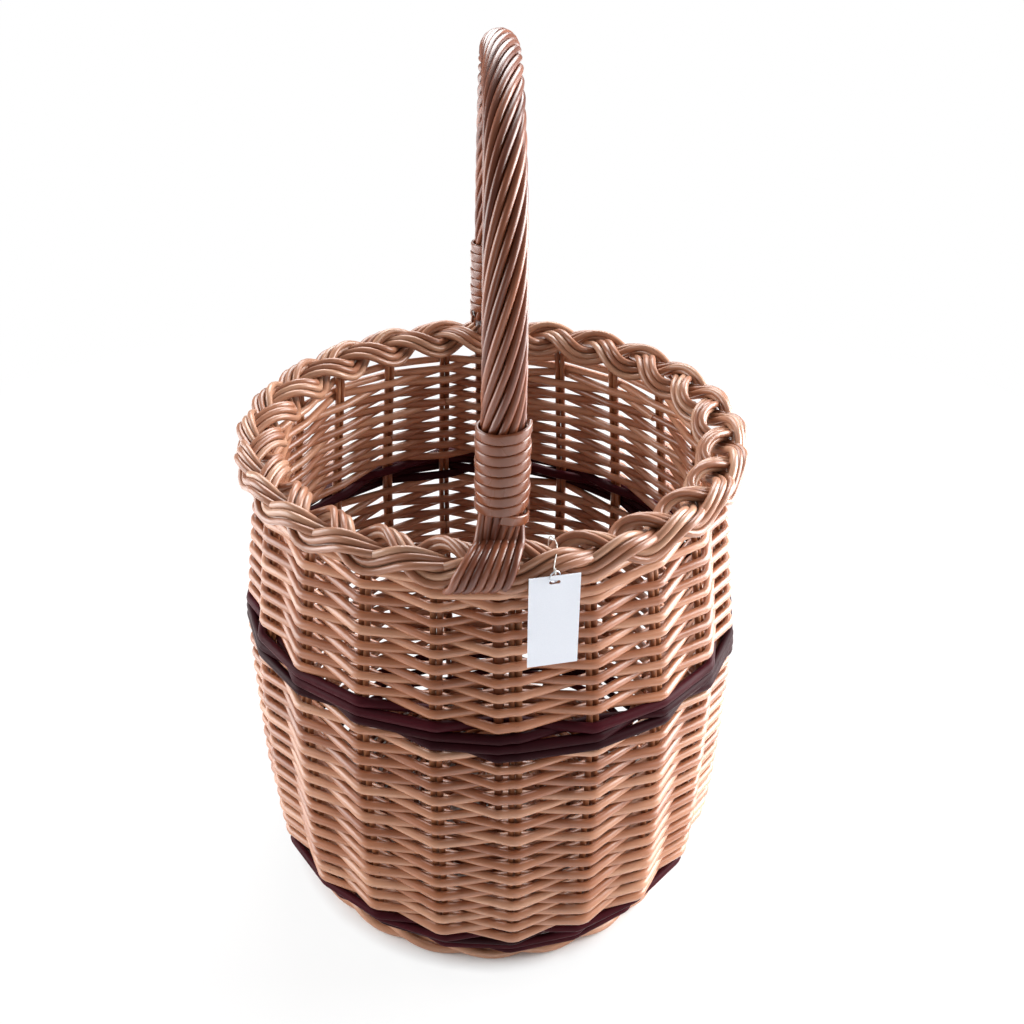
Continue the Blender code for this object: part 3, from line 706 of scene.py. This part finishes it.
    def build_stake(self, index: int, finish: bpy.types.Material) -> None:
        """Builds the two rods that stand side by side at one stake.

        Args:
            index: The stake's number from 0.
            finish: Its material.
        """
        node = f"stake_{index + 1:02d}"
        low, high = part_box(node)
        angle = self.wall.angle_of(index)
        rods = []
        for side in (-1.0, 1.0):
            points = []
            for at in range(self.stake_samples + 1):
                height = low.z + (high.z + self.stake_top - low.z) * at / self.stake_samples
                radius = self.wall.radius_at(height)
                sway = self.chance.uniform(-self.stake_sway_mm, self.stake_sway_mm) * MM
                spacing = self.stake_spacing - self.stake_taper * at / self.stake_samples
                across = side * self.stake_radius * spacing + sway
                points.append(around(angle + across / radius, radius, height))
            radii = taper(len(points), self.stake_radius, self.stake_radius * (1.0 - self.stake_taper))
            rods.append(Rod(points, radii, self.chance.uniform(0.25, 0.75)))
        dress(rods_object(f"stake_rods_{index + 1:02d}", rods, 3), finish, "basket", [node])


@dataclass
class Foot:
    """The twisted strand that the basket stands on."""

    wall: Wall
    strand: float = 5.9 * MM
    gap: float = 0.2 * MM
    outset: float = 4.9 * MM
    samples: int = 8
    tone: float = 0.75

    def build(self, finish: bpy.types.Material) -> None:
        """Builds the strand, which goes round twice and crosses itself under each stake.

        Args:
            finish: Its material.
        """
        radius = self.wall.radius * self.wall.radius_shares[0] + self.outset
        reach = (self.strand + self.gap) / 2.0
        half = self.strand / 2.0
        steps = 2 * self.wall.stakes * self.samples
        points = []
        for step in range(steps):
            turn = 2.0 * TURN * step / steps
            twist = self.wall.stakes * turn / 2.0
            height = half + reach * (1.0 + math.cos(twist))
            points.append(around(self.wall.first_angle + turn, radius + reach * math.sin(twist), height))
        obj = rods_object("foot_strand", [Rod(points, [half] * steps, self.tone, True)])
        dress(obj, finish, "basket", ["foot_wale"])


@dataclass
class Base:
    """The woven bottom: a cross of seven sticks opened into spokes, and two rods paired round them."""

    wall: Wall
    chance: random.Random
    under: int = 3
    over: int = 4
    stick: float = 6.0 * MM
    stick_tip: float = 0.44
    spacing: float = 7.2 * MM
    crown: float = 5.0 * MM
    rise: float = 4.3 * MM
    inset: float = 3.4 * MM
    opening: float = 52.0 * MM
    weaver: float = 4.3 * MM
    weaver_start: float = 33.0 * MM
    row: float = 9.2 * MM
    samples: int = 5
    edge_height: float = field(init=False)
    end: float = field(init=False)

    def __post_init__(self) -> None:
        """Takes the height of the sticks' ends from the foot, and their radius from the wall."""
        self.edge_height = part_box("foot_wale")[1].z + self.rise
        self.end = self.wall.radius_at(self.edge_height) - self.inset

    def place(self, radius: float) -> float:
        """Height of the domed base at a radius."""
        edge = self.wall.radius_at(self.edge_height)
        return self.edge_height + self.crown * (1.0 - radius / edge)

    def half_stick(self, heading: float, swerve: float, shift: float, lift: float) -> list[Vector]:
        """Points of one half of a stick, from its outer end to the cross.

        Args:
            heading: Direction of the half.
            swerve: Angle by which its outer part is opened from that.
            shift: Sideways place in the cross.
            lift: Height above the base's middle.

        Returns:
            The points.
        """
        points = []
        for share in (1.0, 0.66, 0.33, 0.0):
            radius = self.opening + (self.end - self.opening) * share
            points.append(around(heading + swerve, radius, self.place(radius)))
        for share in (0.62, 0.3):
            near = around(heading, self.opening * share, self.place(0.0) + lift)
            points.append(near + around(heading + math.pi / 2.0, shift, 0.0))
        return points

    def build(self, finish: bpy.types.Material) -> None:
        """Builds the sticks and the two weavers.

        Args:
            finish: Their material.
        """
        spread = TURN / (2 * (self.under + self.over))
        for layer, count, word in ((-1, self.under, "under"), (1, self.over, "over")):
            heading = 0.0 if layer < 0 else math.pi / 2.0
            lift = layer * self.stick / 2.0
            for index in range(count):
                place = index - (count - 1) / 2.0
                near = self.half_stick(heading + math.pi, -place * spread, -place * self.spacing, lift)
                far = self.half_stick(heading, place * spread, place * self.spacing, lift)
                points = smooth_line(near + far[::-1], 4)
                radii = taper(len(points), self.stick / 2.0, self.stick * self.stick_tip)
                rod = Rod(points, radii, self.chance.uniform(0.2, 0.7))
                obj = rods_object(f"base_rod_{word}_{index + 1}", [rod])
                dress(obj, finish, "basket", [f"base_stick_{word}_{index + 1}"])
        for weaver in range(2):
            self.build_weaver(weaver, finish)

    def build_weaver(self, weaver: int, finish: bpy.types.Material) -> None:
        """Builds one of the two paired rods as a spiral.

        Args:
            weaver: 0 or 1.
            finish: Its material.
        """
        spokes = 2 * (self.under + self.over)
        rounds = int((self.end - self.weaver - self.weaver_start) / self.row)
        points = []
        for step in range(rounds * spokes * self.samples + 1):
            turn = step / self.samples
            radius = self.end - self.weaver - rounds * self.row + self.row * (turn / spokes + weaver / 2.0)
            wave = math.cos(math.pi * (turn + weaver))
            reach = (self.stick + self.weaver) / 2.0 * math.copysign(abs(wave) ** 0.8, wave)
            points.append(around(TURN / spokes * turn, min(radius, self.end), self.place(radius) + reach))
        rod = Rod(points, [self.weaver / 2.0] * len(points), 0.35 + 0.2 * weaver)
        obj = rods_object(f"base_pairing_{weaver + 1}", [rod], 3)
        dress(obj, finish, "basket", [f"base_weaver_{weaver + 1}"])


@dataclass
class Border:
    """The plait of three strands, each a bundle of the stakes' ends."""

    wall: Wall
    chance: random.Random
    outset: float = 1.9 * MM
    swing: float = 11.2 * MM
    rise: float = 5.0 * MM
    skew: float = 0.15
    lap: float = 0.25
    periods: int = 8
    part_share: float = 0.25
    part_length: float = 34.0 * MM
    rod: float = 4.7 * MM
    depth_share: float = 0.9
    wobble: float = 0.35 * MM
    swell: float = 0.05
    samples: int = 30
    layers: tuple[tuple[float, float], ...] = ((-1.0, 0.3), (0.0, 0.45), (1.0, 0.3), (-0.5, -0.4), (0.5, -0.4))
    radius: float = field(init=False)
    height: float = field(init=False)

    def __post_init__(self) -> None:
        """Takes the radius of the plait's middle from the wall and its height from the frame."""
        self.radius = self.wall.radius * self.wall.radius_shares[-1] + self.outset
        low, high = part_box("border_strand_1")
        self.height = (low.z + high.z) / 2.0

    def phase(self, angle: float) -> float:
        """Phase of the plait, which parts the same way round both ends of the bow.

        Args:
            angle: Angle round the basket.

        Returns:
            The first strand's phase.
        """
        front, back = (self.wall.angle_of(step) for step in self.wall.bow_steps)
        drift = -self.periods * (back - front - math.pi)
        turn = angle - front
        return -math.pi / 2.0 + self.periods * turn + drift * (1.0 - math.cos(turn)) / 2.0

    def middle(self, strand: int, angle: float) -> tuple[Vector, float]:
        """Middle of a strand.

        Args:
            strand: 0, 1 or 2.
            angle: Angle round the basket.

        Returns:
            The point and the strand's phase there.
        """
        even = self.phase(angle) + TURN * strand / 3.0
        # A strand crosses outwards a little faster than it comes back
        phase = even + self.skew * math.sin(even)
        swing = self.swing
        for step in self.wall.bow_steps:
            away = abs(math.remainder(angle - self.wall.angle_of(step), TURN)) * self.radius
            swing += self.swing * self.part_share * (1.0 - eased(min(away / self.part_length, 1.0)))
        # Its outer arcs are long and flat, and its inner ones short, because the plait is rolled over the edge
        radius = self.radius + swing * (math.sin(phase) + self.lap * (1.0 + math.cos(2.0 * phase)))
        return around(angle, radius, self.height - self.rise * math.sin(2.0 * phase)), phase

    def build(self, finish: bpy.types.Material) -> None:
        """Builds the three strands.

        Args:
            finish: Their material.
        """
        for strand in range(3):
            obj = rods_object(f"plait_strand_{strand + 1}", [self.rod_line(strand, *layer) for layer in self.layers])
            dress(obj, finish, "basket", [f"border_strand_{strand + 1}"])

    def rod_line(self, strand: int, across: float, depth: float) -> Rod:
        """One rod of a strand's bundle.

        Args:
            strand: 0, 1 or 2.
            across: Place across the bundle, in rods.
            depth: Place through the bundle, in rods.

        Returns:
            The rod, a closed ring.
        """
        whole = self.periods * self.samples
        step = TURN / whole
        points = []
        radii = []
        for at in range(whole):
            angle = step * at
            centre, phase = self.middle(strand, angle)
            ahead = self.middle(strand, angle + step * 0.5)[0] - self.middle(strand, angle - step * 0.5)[0]
            along = ahead.normalized()
            # The bundle lies flat on top of the plait and turns outwards or inwards at its edges
            turn = math.radians(60.0 * math.sin(phase) - 6.0 * math.sin(3.0 * phase) + 8.0 * math.cos(phase))
            facing = UP * math.cos(turn) + around(angle, 1.0, 0.0) * math.sin(turn)
            side = along.cross(facing).normalized()
            facing = side.cross(along).normalized()
            wobble = self.wobble * math.sin(3.0 * angle + 2.1 * across + strand)
            points.append(centre + side * (across * self.rod + wobble) + facing * depth * self.rod * self.depth_share)
            radii.append(self.rod / 2.0 * (1.0 + self.swell * math.sin(4.0 * TURN * at / whole + across * 2.0)))
        return Rod(points, radii, self.chance.uniform(0.25, 0.85), True)


@dataclass
class Handle:
    """The bow, the rods roped round it, and the strips that bind its feet."""

    wall: Wall
    border: Border
    chance: random.Random
    lean: float = 2.8 * MM
    tilt: float = 2.7 * MM
    skew: float = 2.9 * MM
    inset: float = 12.5 * MM
    rise: float = 0.239
    tip_depth: float = 0.187
    tip_height: float = 0.16
    end_inset: float = 8.0 * MM
    tip_radius: float = 2.4 * MM
    tip_growth: float = 1.7 * MM
    grip: float = 6.6 * MM
    grip_length: float = 20.0 * MM
    count: int = 12
    rod: float = 4.8 * MM
    radius: float = 10.8 * MM
    thinning: float = 1.4 * MM
    turns: float = 3.25
    end_rise: float = 15.0 * MM
    border_rise: float = 7.4 * MM
    samples: int = 96
    fan_count: int = 7
    fan_spacing: float = 5.0 * MM
    fan_lean: float = 16.5 * MM
    fan_angles: tuple[float, ...] = (96.0, 78.0, 60.0, 42.0, 24.0, 6.0, -12.0, -30.0, -46.0)
    binding_turns: int = 8
    binding_pitch: float = 6.4 * MM
    binding_width: float = 6.3 * MM
    binding_thickness: float = 2.0 * MM
    binding_rise: float = 18.0 * MM
    binding_samples: int = 28
    tuck_samples: int = 14

    def half_span(self) -> float:
        """Half of the distance between the handle's feet."""
        return self.border.radius - self.inset

    def foot(self) -> float:
        """Height at which the roping starts."""
        return self.border.height + self.border_rise + self.end_rise

    def top(self) -> float:
        """Height of the bow's middle at the top of the arch."""
        return self.border.height + self.rise

    def whole(self) -> float:
        """Length of the arch between its feet."""
        span = self.half_span()
        return 2.0 * (self.top() - span - self.foot()) + math.pi * span

    def lean_at(self, depth: float, height: float) -> float:
        """How far the handle stands to the right at a depth and height, because it is a little askew."""
        share = max(height - self.foot(), 0.0) / (self.top() - self.foot())
        return self.lean + self.tilt * share + self.skew * depth / self.half_span()

    def centre(self, depth: float, height: float) -> Vector:
        """The bow's middle at a depth and height."""
        return Vector((self.lean_at(depth, height), depth, height))

    def axis(self, length: float) -> tuple[Vector, Vector]:
        """Point on the arch and the direction away from its middle.

        Args:
            length: Distance along the arch from the front foot.

        Returns:
            The point and a unit vector.
        """
        span = self.half_span()
        spring = self.top() - span
        leg = spring - self.foot()
        if length < leg:
            return self.centre(-span, self.foot() + length), -BACKWARD
        if length > self.whole() - leg:
            return self.centre(span, self.foot() + self.whole() - length), BACKWARD
        angle = (length - leg) / span
        outward = Vector((0.0, -math.cos(angle), math.sin(angle)))
        return self.centre(outward.y * span, spring + outward.z * span), outward

    def build(self, roped: bpy.types.Material, stake: bpy.types.Material, cane: bpy.types.Material) -> None:
        """Builds the bow, the roping and the bindings.

        Args:
            roped: Material of the roping.
            stake: Material of the bow.
            cane: Material of the bindings.
        """
        self.build_bow(stake)
        for index in range(self.count):
            self.build_rope(index, roped)
        for place in Place:
            self.build_binding(place, cane)

    def build_bow(self, finish: bpy.types.Material) -> None:
        """Builds the stick inside the roping, down to its two ends in the wall.

        Args:
            finish: Its material.
        """
        arch = [self.axis(self.whole() * at / 40.0)[0] for at in range(41)]
        tip = self.border.height - self.tip_depth
        ends = []
        for step in self.wall.bow_steps:
            angle = self.wall.angle_of(step)
            heights = [tip + (self.wall.height - tip) * share for share in (0.0, 0.25, 0.5, 0.75, 0.9)]
            run = [around(angle, self.wall.radius_at(height), height) for height in heights]
            ends.append(run + [around(angle, self.border.radius - self.end_inset, self.border.height)])
        points = smooth_line(ends[0] + arch + ends[1][::-1], 3)
        neck = self.border.height + self.border_rise
        above = self.tip_radius + self.tip_growth
        radii = []
        for point in points:
            share = min(max((point.z - neck - self.end_rise / 2.0) / self.grip_length, 0.0), 1.0)
            low = min(max((point.z - self.tip_height) / (neck - self.tip_height), 0.0), 1.0)
            radii.append(self.tip_radius + self.tip_growth * low + (self.grip - above) * eased(share))
        # The bow takes the darkest tone, as painted shade that shows in the gaps between the roping rods
        dress(rods_object("bow_stick", [Rod(points, radii, 0.05)]), finish, "basket", ["handle_bow"])

    def fan(self, turn: float, outward: Vector, right: Vector) -> list[Vector]:
        """The end of a roping rod, spread over the border's outside and tucked under it.

        Args:
            turn: Where the rod is round the bow; 0 faces outwards.
            outward: Direction away from the basket's middle.
            right: Direction to the right of that.

        Returns:
            Control points from the border's top to its underside.
        """
        lateral = turn / (TURN / self.count) * self.fan_spacing
        over = self.border.swing + (self.border.rod + self.rod) * 0.62 + 2.2 * MM
        high = self.border.rise + self.border.rod * 0.9 + self.rod / 2.0 + 0.6 * MM
        points = []
        for degrees in self.fan_angles:
            share = (self.fan_angles[0] - degrees) / (self.fan_angles[0] - self.fan_angles[-1])
            angle = math.radians(degrees)
            across, upward = (math.copysign(abs(v) ** 0.8, v) for v in (math.cos(angle), math.sin(angle)))
            # The rods draw together on top of the border and lean to the left as they go down
            gather = 0.80 + 0.20 * min(share * 1.6, 1.0)
            side = lateral * gather - self.fan_lean * (0.08 + 0.92 * share)
            place = outward * (self.border.radius + over * across) + right * side
            place.x += self.lean_at(place.y, 0.0)
            place.z = self.border.height + high * upward
            points.append(place)
        return points

    def build_rope(self, index: int, finish: bpy.types.Material) -> None:
        """Builds one rod of the roping.

        Args:
            index: Its number from 0.
            finish: Its material.
        """
        control = []
        turns = []
        for at in range(self.samples + 1):
            length = self.whole() * at / self.samples
            turn = TURN * (index / self.count + self.turns * length / self.whole())
            centre, outward = self.axis(length)
            radius = self.radius - self.thinning * math.sin(math.pi * length / self.whole()) ** 0.7
            control.append(centre + radius * (math.cos(turn) * outward + math.sin(turn) * RIGHT))
            turns.append(math.remainder(turn, TURN))
        reach = (self.fan_count // 2 + 0.01) * TURN / self.count
        if abs(turns[0]) < reach:
            control = self.fan(turns[0], -BACKWARD, RIGHT)[::-1] + control[2:]
        if abs(turns[-1]) < reach:
            control = control[:-2] + self.fan(-turns[-1], BACKWARD, -RIGHT)
        points = smooth_line(control, 2)
        wide = self.rod / 2.0 * self.chance.uniform(0.95, 1.03)
        last = len(points) - 1
        radii = [wide * (1.0 - 0.08 * math.sin(math.pi * at / last)) for at in range(last + 1)]
        for end in (0, -1):
            if abs(turns[end]) < reach:
                for at in range(6):
                    radii[at if end == 0 else -1 - at] = wide * (0.8 + 0.033 * at)
        rod = Rod(points, radii, self.chance.uniform(0.15, 0.85))
        name = f"handle_rope_{index + 1:02d}"
        dress(rods_object(f"roping_rod_{index + 1:02d}", [rod]), finish, "basket", [name])

    def build_binding(self, place: Place, finish: bpy.types.Material) -> None:
        """Builds the strip wound round one foot of the handle, with its tucked end.

        Args:
            place: Which foot.
            finish: Its material.
        """
        start = self.foot() - self.end_rise + self.binding_rise + self.binding_width / 2.0
        inner = self.radius + self.rod / 2.0 + self.binding_thickness / 2.0 + 0.1 * MM
        depth = place.value * self.half_span()
        points = []
        for at in range(self.binding_turns * self.binding_samples + 1):
            angle = TURN * at / self.binding_samples
            reach = inner + 0.35 * MM * math.sin(angle * 0.5 + 1.0)
            centre = self.centre(depth, start + self.binding_pitch * at / self.binding_samples)
            points.append(centre + Vector((math.cos(angle), math.sin(angle), 0.0)) * reach)
        tuck = []
        for at in range(self.tuck_samples + 1):
            angle = math.radians(-95.0 + 8.0 * at) * -place.value
            reach = inner + 0.5 * MM * math.sin(math.pi * at / self.tuck_samples) - 0.2 * MM
            away = Vector((math.cos(angle) * -place.value, math.sin(angle), 0.0))
            tuck.append(self.centre(depth, start - 0.5 * MM * at) + away * reach)
        half = self.binding_thickness / 2.0
        rods = [Rod(points, [half] * len(points), 0.5), Rod(tuck, [half] * len(tuck), 0.6)]
        obj = rods_object(f"binding_strip_{place.name.lower()}", rods, 3, self.binding_width / 2.0 - half)
        dress(obj, finish, "basket", [f"binding_{place.name.lower()}"])


@dataclass
class SwingTag:
    """The card, the ring and the thread that ties them to the border."""

    border: Border
    angle: float = math.radians(9.4)
    hang: float = 19.9 * MM
    ring_radius: float = 3.3 * MM
    wire: float = 0.9 * MM
    ring_turn: float = math.radians(18.0)
    ring_samples: int = 48
    thread: float = 0.7 * MM
    thread_lean: float = 5.0 * MM
    hitch_mm: tuple[tuple[float, float], ...] = ((-2.4, 2.6), (-1.0, -0.4), (0.0, -1.0), (1.0, -0.4), (0.3, 2.8))

    def build(self, card: bpy.types.Material, wire: bpy.types.Material, thread: bpy.types.Material) -> None:
        """Builds the ring and the thread, and dresses the card's own node.

        Args:
            card: Material of the card.
            wire: Material of the ring.
            thread: Material of the thread.
        """
        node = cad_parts["tag_card"]
        node.data.materials.clear()
        node.data.materials.append(card)
        LOG.info("tag_card: its own %d faces", len(node.data.polygons))
        self.build_ring(wire)
        self.build_thread(thread)

    def build_ring(self, finish: bpy.types.Material) -> None:
        """Builds the wire ring as a closed round wire in its node's place.

        Args:
            finish: Its material.
        """
        low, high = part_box("tag_ring")
        centre = (low + high) / 2.0
        across = around(self.angle + math.pi / 2.0 + self.ring_turn, 1.0, 0.0)
        points = []
        for at in range(self.ring_samples):
            angle = TURN * at / self.ring_samples
            points.append(centre + (across * math.cos(angle) + UP * math.sin(angle)) * self.ring_radius)
        rod = Rod(points, [self.wire / 2.0] * self.ring_samples, 0.5, True)
        dress(rods_object("tag_wire_ring", [rod]), finish, "tag_ring", ["tag_ring"])

    def build_thread(self, finish: bpy.types.Material) -> None:
        """Builds the thread: round the border, down to the ring and through it.

        Args:
            finish: Its material.
        """
        outward = around(self.angle, 1.0, 0.0)
        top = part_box("tag_ring")[1].z - self.wire
        plane = self.border.radius + self.hang
        over = self.border.swing + self.border.rod * 0.62 + self.thread
        tall = self.border.rise + self.border.rod * 0.95 + self.thread
        control = []
        for degrees in range(-150, 61, 30):
            angle = math.radians(degrees)
            place = outward * (self.border.radius - over * math.cos(angle))
            control.append(place + UP * (self.border.height + tall * math.sin(angle)))
        control.append(outward * (self.border.radius + 4.0 * MM) + UP * (self.border.height + tall))
        # The loop round the border sits a little to the right of the ring
        side = around(self.angle + math.pi / 2.0, 1.0, 0.0)
        for point in control:
            point += side * self.thread_lean
        for away, above in self.hitch_mm:
            control.append(outward * (plane + away * MM) + UP * (top + above * MM))
        points = smooth_line(control, 4)
        rod = Rod(points, [self.thread / 2.0] * len(points), 0.5)
        dress(rods_object("tag_thread", [rod], 2), finish, "basket", ["tag_string"])


@dataclass
class Studio:
    """Camera, lamps, world and floor."""

    lens: float = 43.97
    location: tuple[float, float, float] = (-0.0311, -0.7232, 0.7458)
    pitch: float = math.radians(90.0 - 32.54)
    turn: float = -0.043
    shift: float = 0.0203
    paint: str = "#F4F4F4"
    floor_size: float = 6.0
    lift: float = 0.88
    shade: tuple[float, float] = (0.143, 0.158)
    fade: tuple[float, float] = (0.3, 1.0)
    ambient: float = 0.22
    aim: tuple[float, float, float] = (0.0, 0.0, 0.25)

    def build(self) -> None:
        """Builds the whole studio."""
        self.build_camera()
        self.build_world()
        self.build_floor()
        self.build_lamp("right_lamp", (1.5, 0.35, 0.75), 1.3, 82.0)
        self.build_lamp("left_lamp", (-1.5, 0.25, 0.65), 1.3, 37.0)
        self.build_lamp("back_lamp", (0.1, 1.3, 1.5), 1.2, 40.0)
        self.build_lamp("front_lamp", (0.5, -1.7, 0.55), 1.2, 6.0)

    def build_camera(self) -> None:
        """Places the camera at the photograph's angle."""
        data = bpy.data.cameras.new("camera")
        data.sensor_width = 36.0
        data.lens = self.lens
        data.shift_x = self.shift
        camera = bpy.data.objects.new("camera", data)
        camera.location = self.location
        camera.rotation_euler = (self.pitch, 0.0, self.turn)
        bpy.context.scene.collection.objects.link(camera)
        bpy.context.scene.camera = camera

    def build_world(self) -> None:
        """Gives the camera and glass a white background, and the object a soft even light."""
        world = bpy.data.worlds.new("studio")
        world.use_nodes = True
        tree = world.node_tree
        tree.nodes.clear()
        ray = add_node(tree, "ShaderNodeLightPath")
        rays = {0: ray.outputs["Is Camera Ray"], 1: ray.outputs["Is Transmission Ray"]}
        seen = add_node(tree, "ShaderNodeMath", {"operation": "MAXIMUM"}, links=rays)
        values = {"Color": (1.0, 0.99, 0.98, 1.0), "Strength": self.ambient}
        soft = add_node(tree, "ShaderNodeBackground", values=values)
        white = add_node(tree, "ShaderNodeBackground", values={"Color": linear(WHITE), "Strength": 1.0})
        links = {0: seen.outputs[0], 1: soft.outputs[0], 2: white.outputs[0]}
        mix = add_node(tree, "ShaderNodeMixShader", links=links)
        add_node(tree, "ShaderNodeOutputWorld", links={"Surface": mix.outputs[0]})
        bpy.context.scene.world = world
        bpy.context.scene.view_settings.view_transform = "Standard"

    def build_floor(self) -> None:
        """Builds a plain white floor that keeps the basket's soft shadow."""
        shape = bmesh.new()
        bmesh.ops.create_grid(shape, x_segments=1, y_segments=1, size=self.floor_size)
        mesh = bpy.data.meshes.new("floor")
        shape.to_mesh(mesh)
        shape.free()
        made = bpy.data.materials.new("white_studio_floor")
        made.use_nodes = True
        tree = made.node_tree
        tree.nodes.clear()
        ray = add_node(tree, "ShaderNodeLightPath")
        paint = add_node(tree, "ShaderNodeBsdfDiffuse", values={"Color": linear(self.paint)})
        glow = add_node(tree, "ShaderNodeEmission", values={"Color": linear(WHITE), "Strength": 1.0})
        place = add_node(tree, "ShaderNodeTexCoord")
        away = add_node(tree, "ShaderNodeVectorMath", {"operation": "LENGTH"}, links={0: place.outputs["Object"]})
        # Under the basket the floor is in the dark and isn't lifted; far off it fades to the background's white
        shares = []
        for (near, far), share in ((self.shade, self.lift), (self.fade, 1.0 - self.lift)):
            values = {1: near, 2: far, 3: 0.0, 4: share}
            shares.append(add_node(tree, "ShaderNodeMapRange", {}, values, {0: away.outputs["Value"]}).outputs[0])
        total = add_node(tree, "ShaderNodeMath", {"operation": "ADD"}, links={0: shares[0], 1: shares[1]})
        links = {0: total.outputs[0], 1: paint.outputs[0], 2: glow.outputs[0]}
        lifted = add_node(tree, "ShaderNodeMixShader", links=links)
        links = {0: ray.outputs["Is Camera Ray"], 1: paint.outputs[0], 2: lifted.outputs[0]}
        mix = add_node(tree, "ShaderNodeMixShader", links=links)
        add_node(tree, "ShaderNodeOutputMaterial", links={"Surface": mix.outputs[0]})
        mesh.materials.append(made)
        floor = link_mesh("floor", mesh)

    def build_lamp(self, name: str, location: tuple[float, float, float], size: float, power: float) -> None:
        """Adds a square soft lamp that faces the basket.

        Args:
            name: The lamp's name.
            location: Its place.
            size: Side of its square.
            power: Its power in watts.
        """
        data = bpy.data.lights.new(name, "AREA")
        data.size = size
        data.energy = power
        lamp = bpy.data.objects.new(name, data)
        lamp.location = location
        lamp.rotation_euler = (Vector(self.aim) - Vector(location)).to_track_quat("-Z", "Y").to_euler()
        bpy.context.scene.collection.objects.link(lamp)


def main() -> None:
    """Builds the basket, sub-assembly by sub-assembly, and the studio round it."""
    logging.basicConfig(level=logging.INFO, format="%(message)s")
    chance = random.Random(21)
    finishes = {finish: finish.material() for finish in (NATURAL, BORDER_WILLOW, SHADED, MAROON, CANE, ROPED)}
    wall = Wall()
    border = Border(wall, chance)
    Studio().build()
    Foot(wall).build(finishes[NATURAL])
    Base(wall, chance).build(finishes[SHADED])
    WovenWall(wall, chance).build(finishes)
    border.build(finishes[BORDER_WILLOW])
    Handle(wall, border, chance).build(finishes[ROPED], finishes[SHADED], finishes[CANE])
    SwingTag(border).build(CardFinish().material(), WireFinish().material(), ThreadFinish().material())


if __name__ == "__main__":
    main()
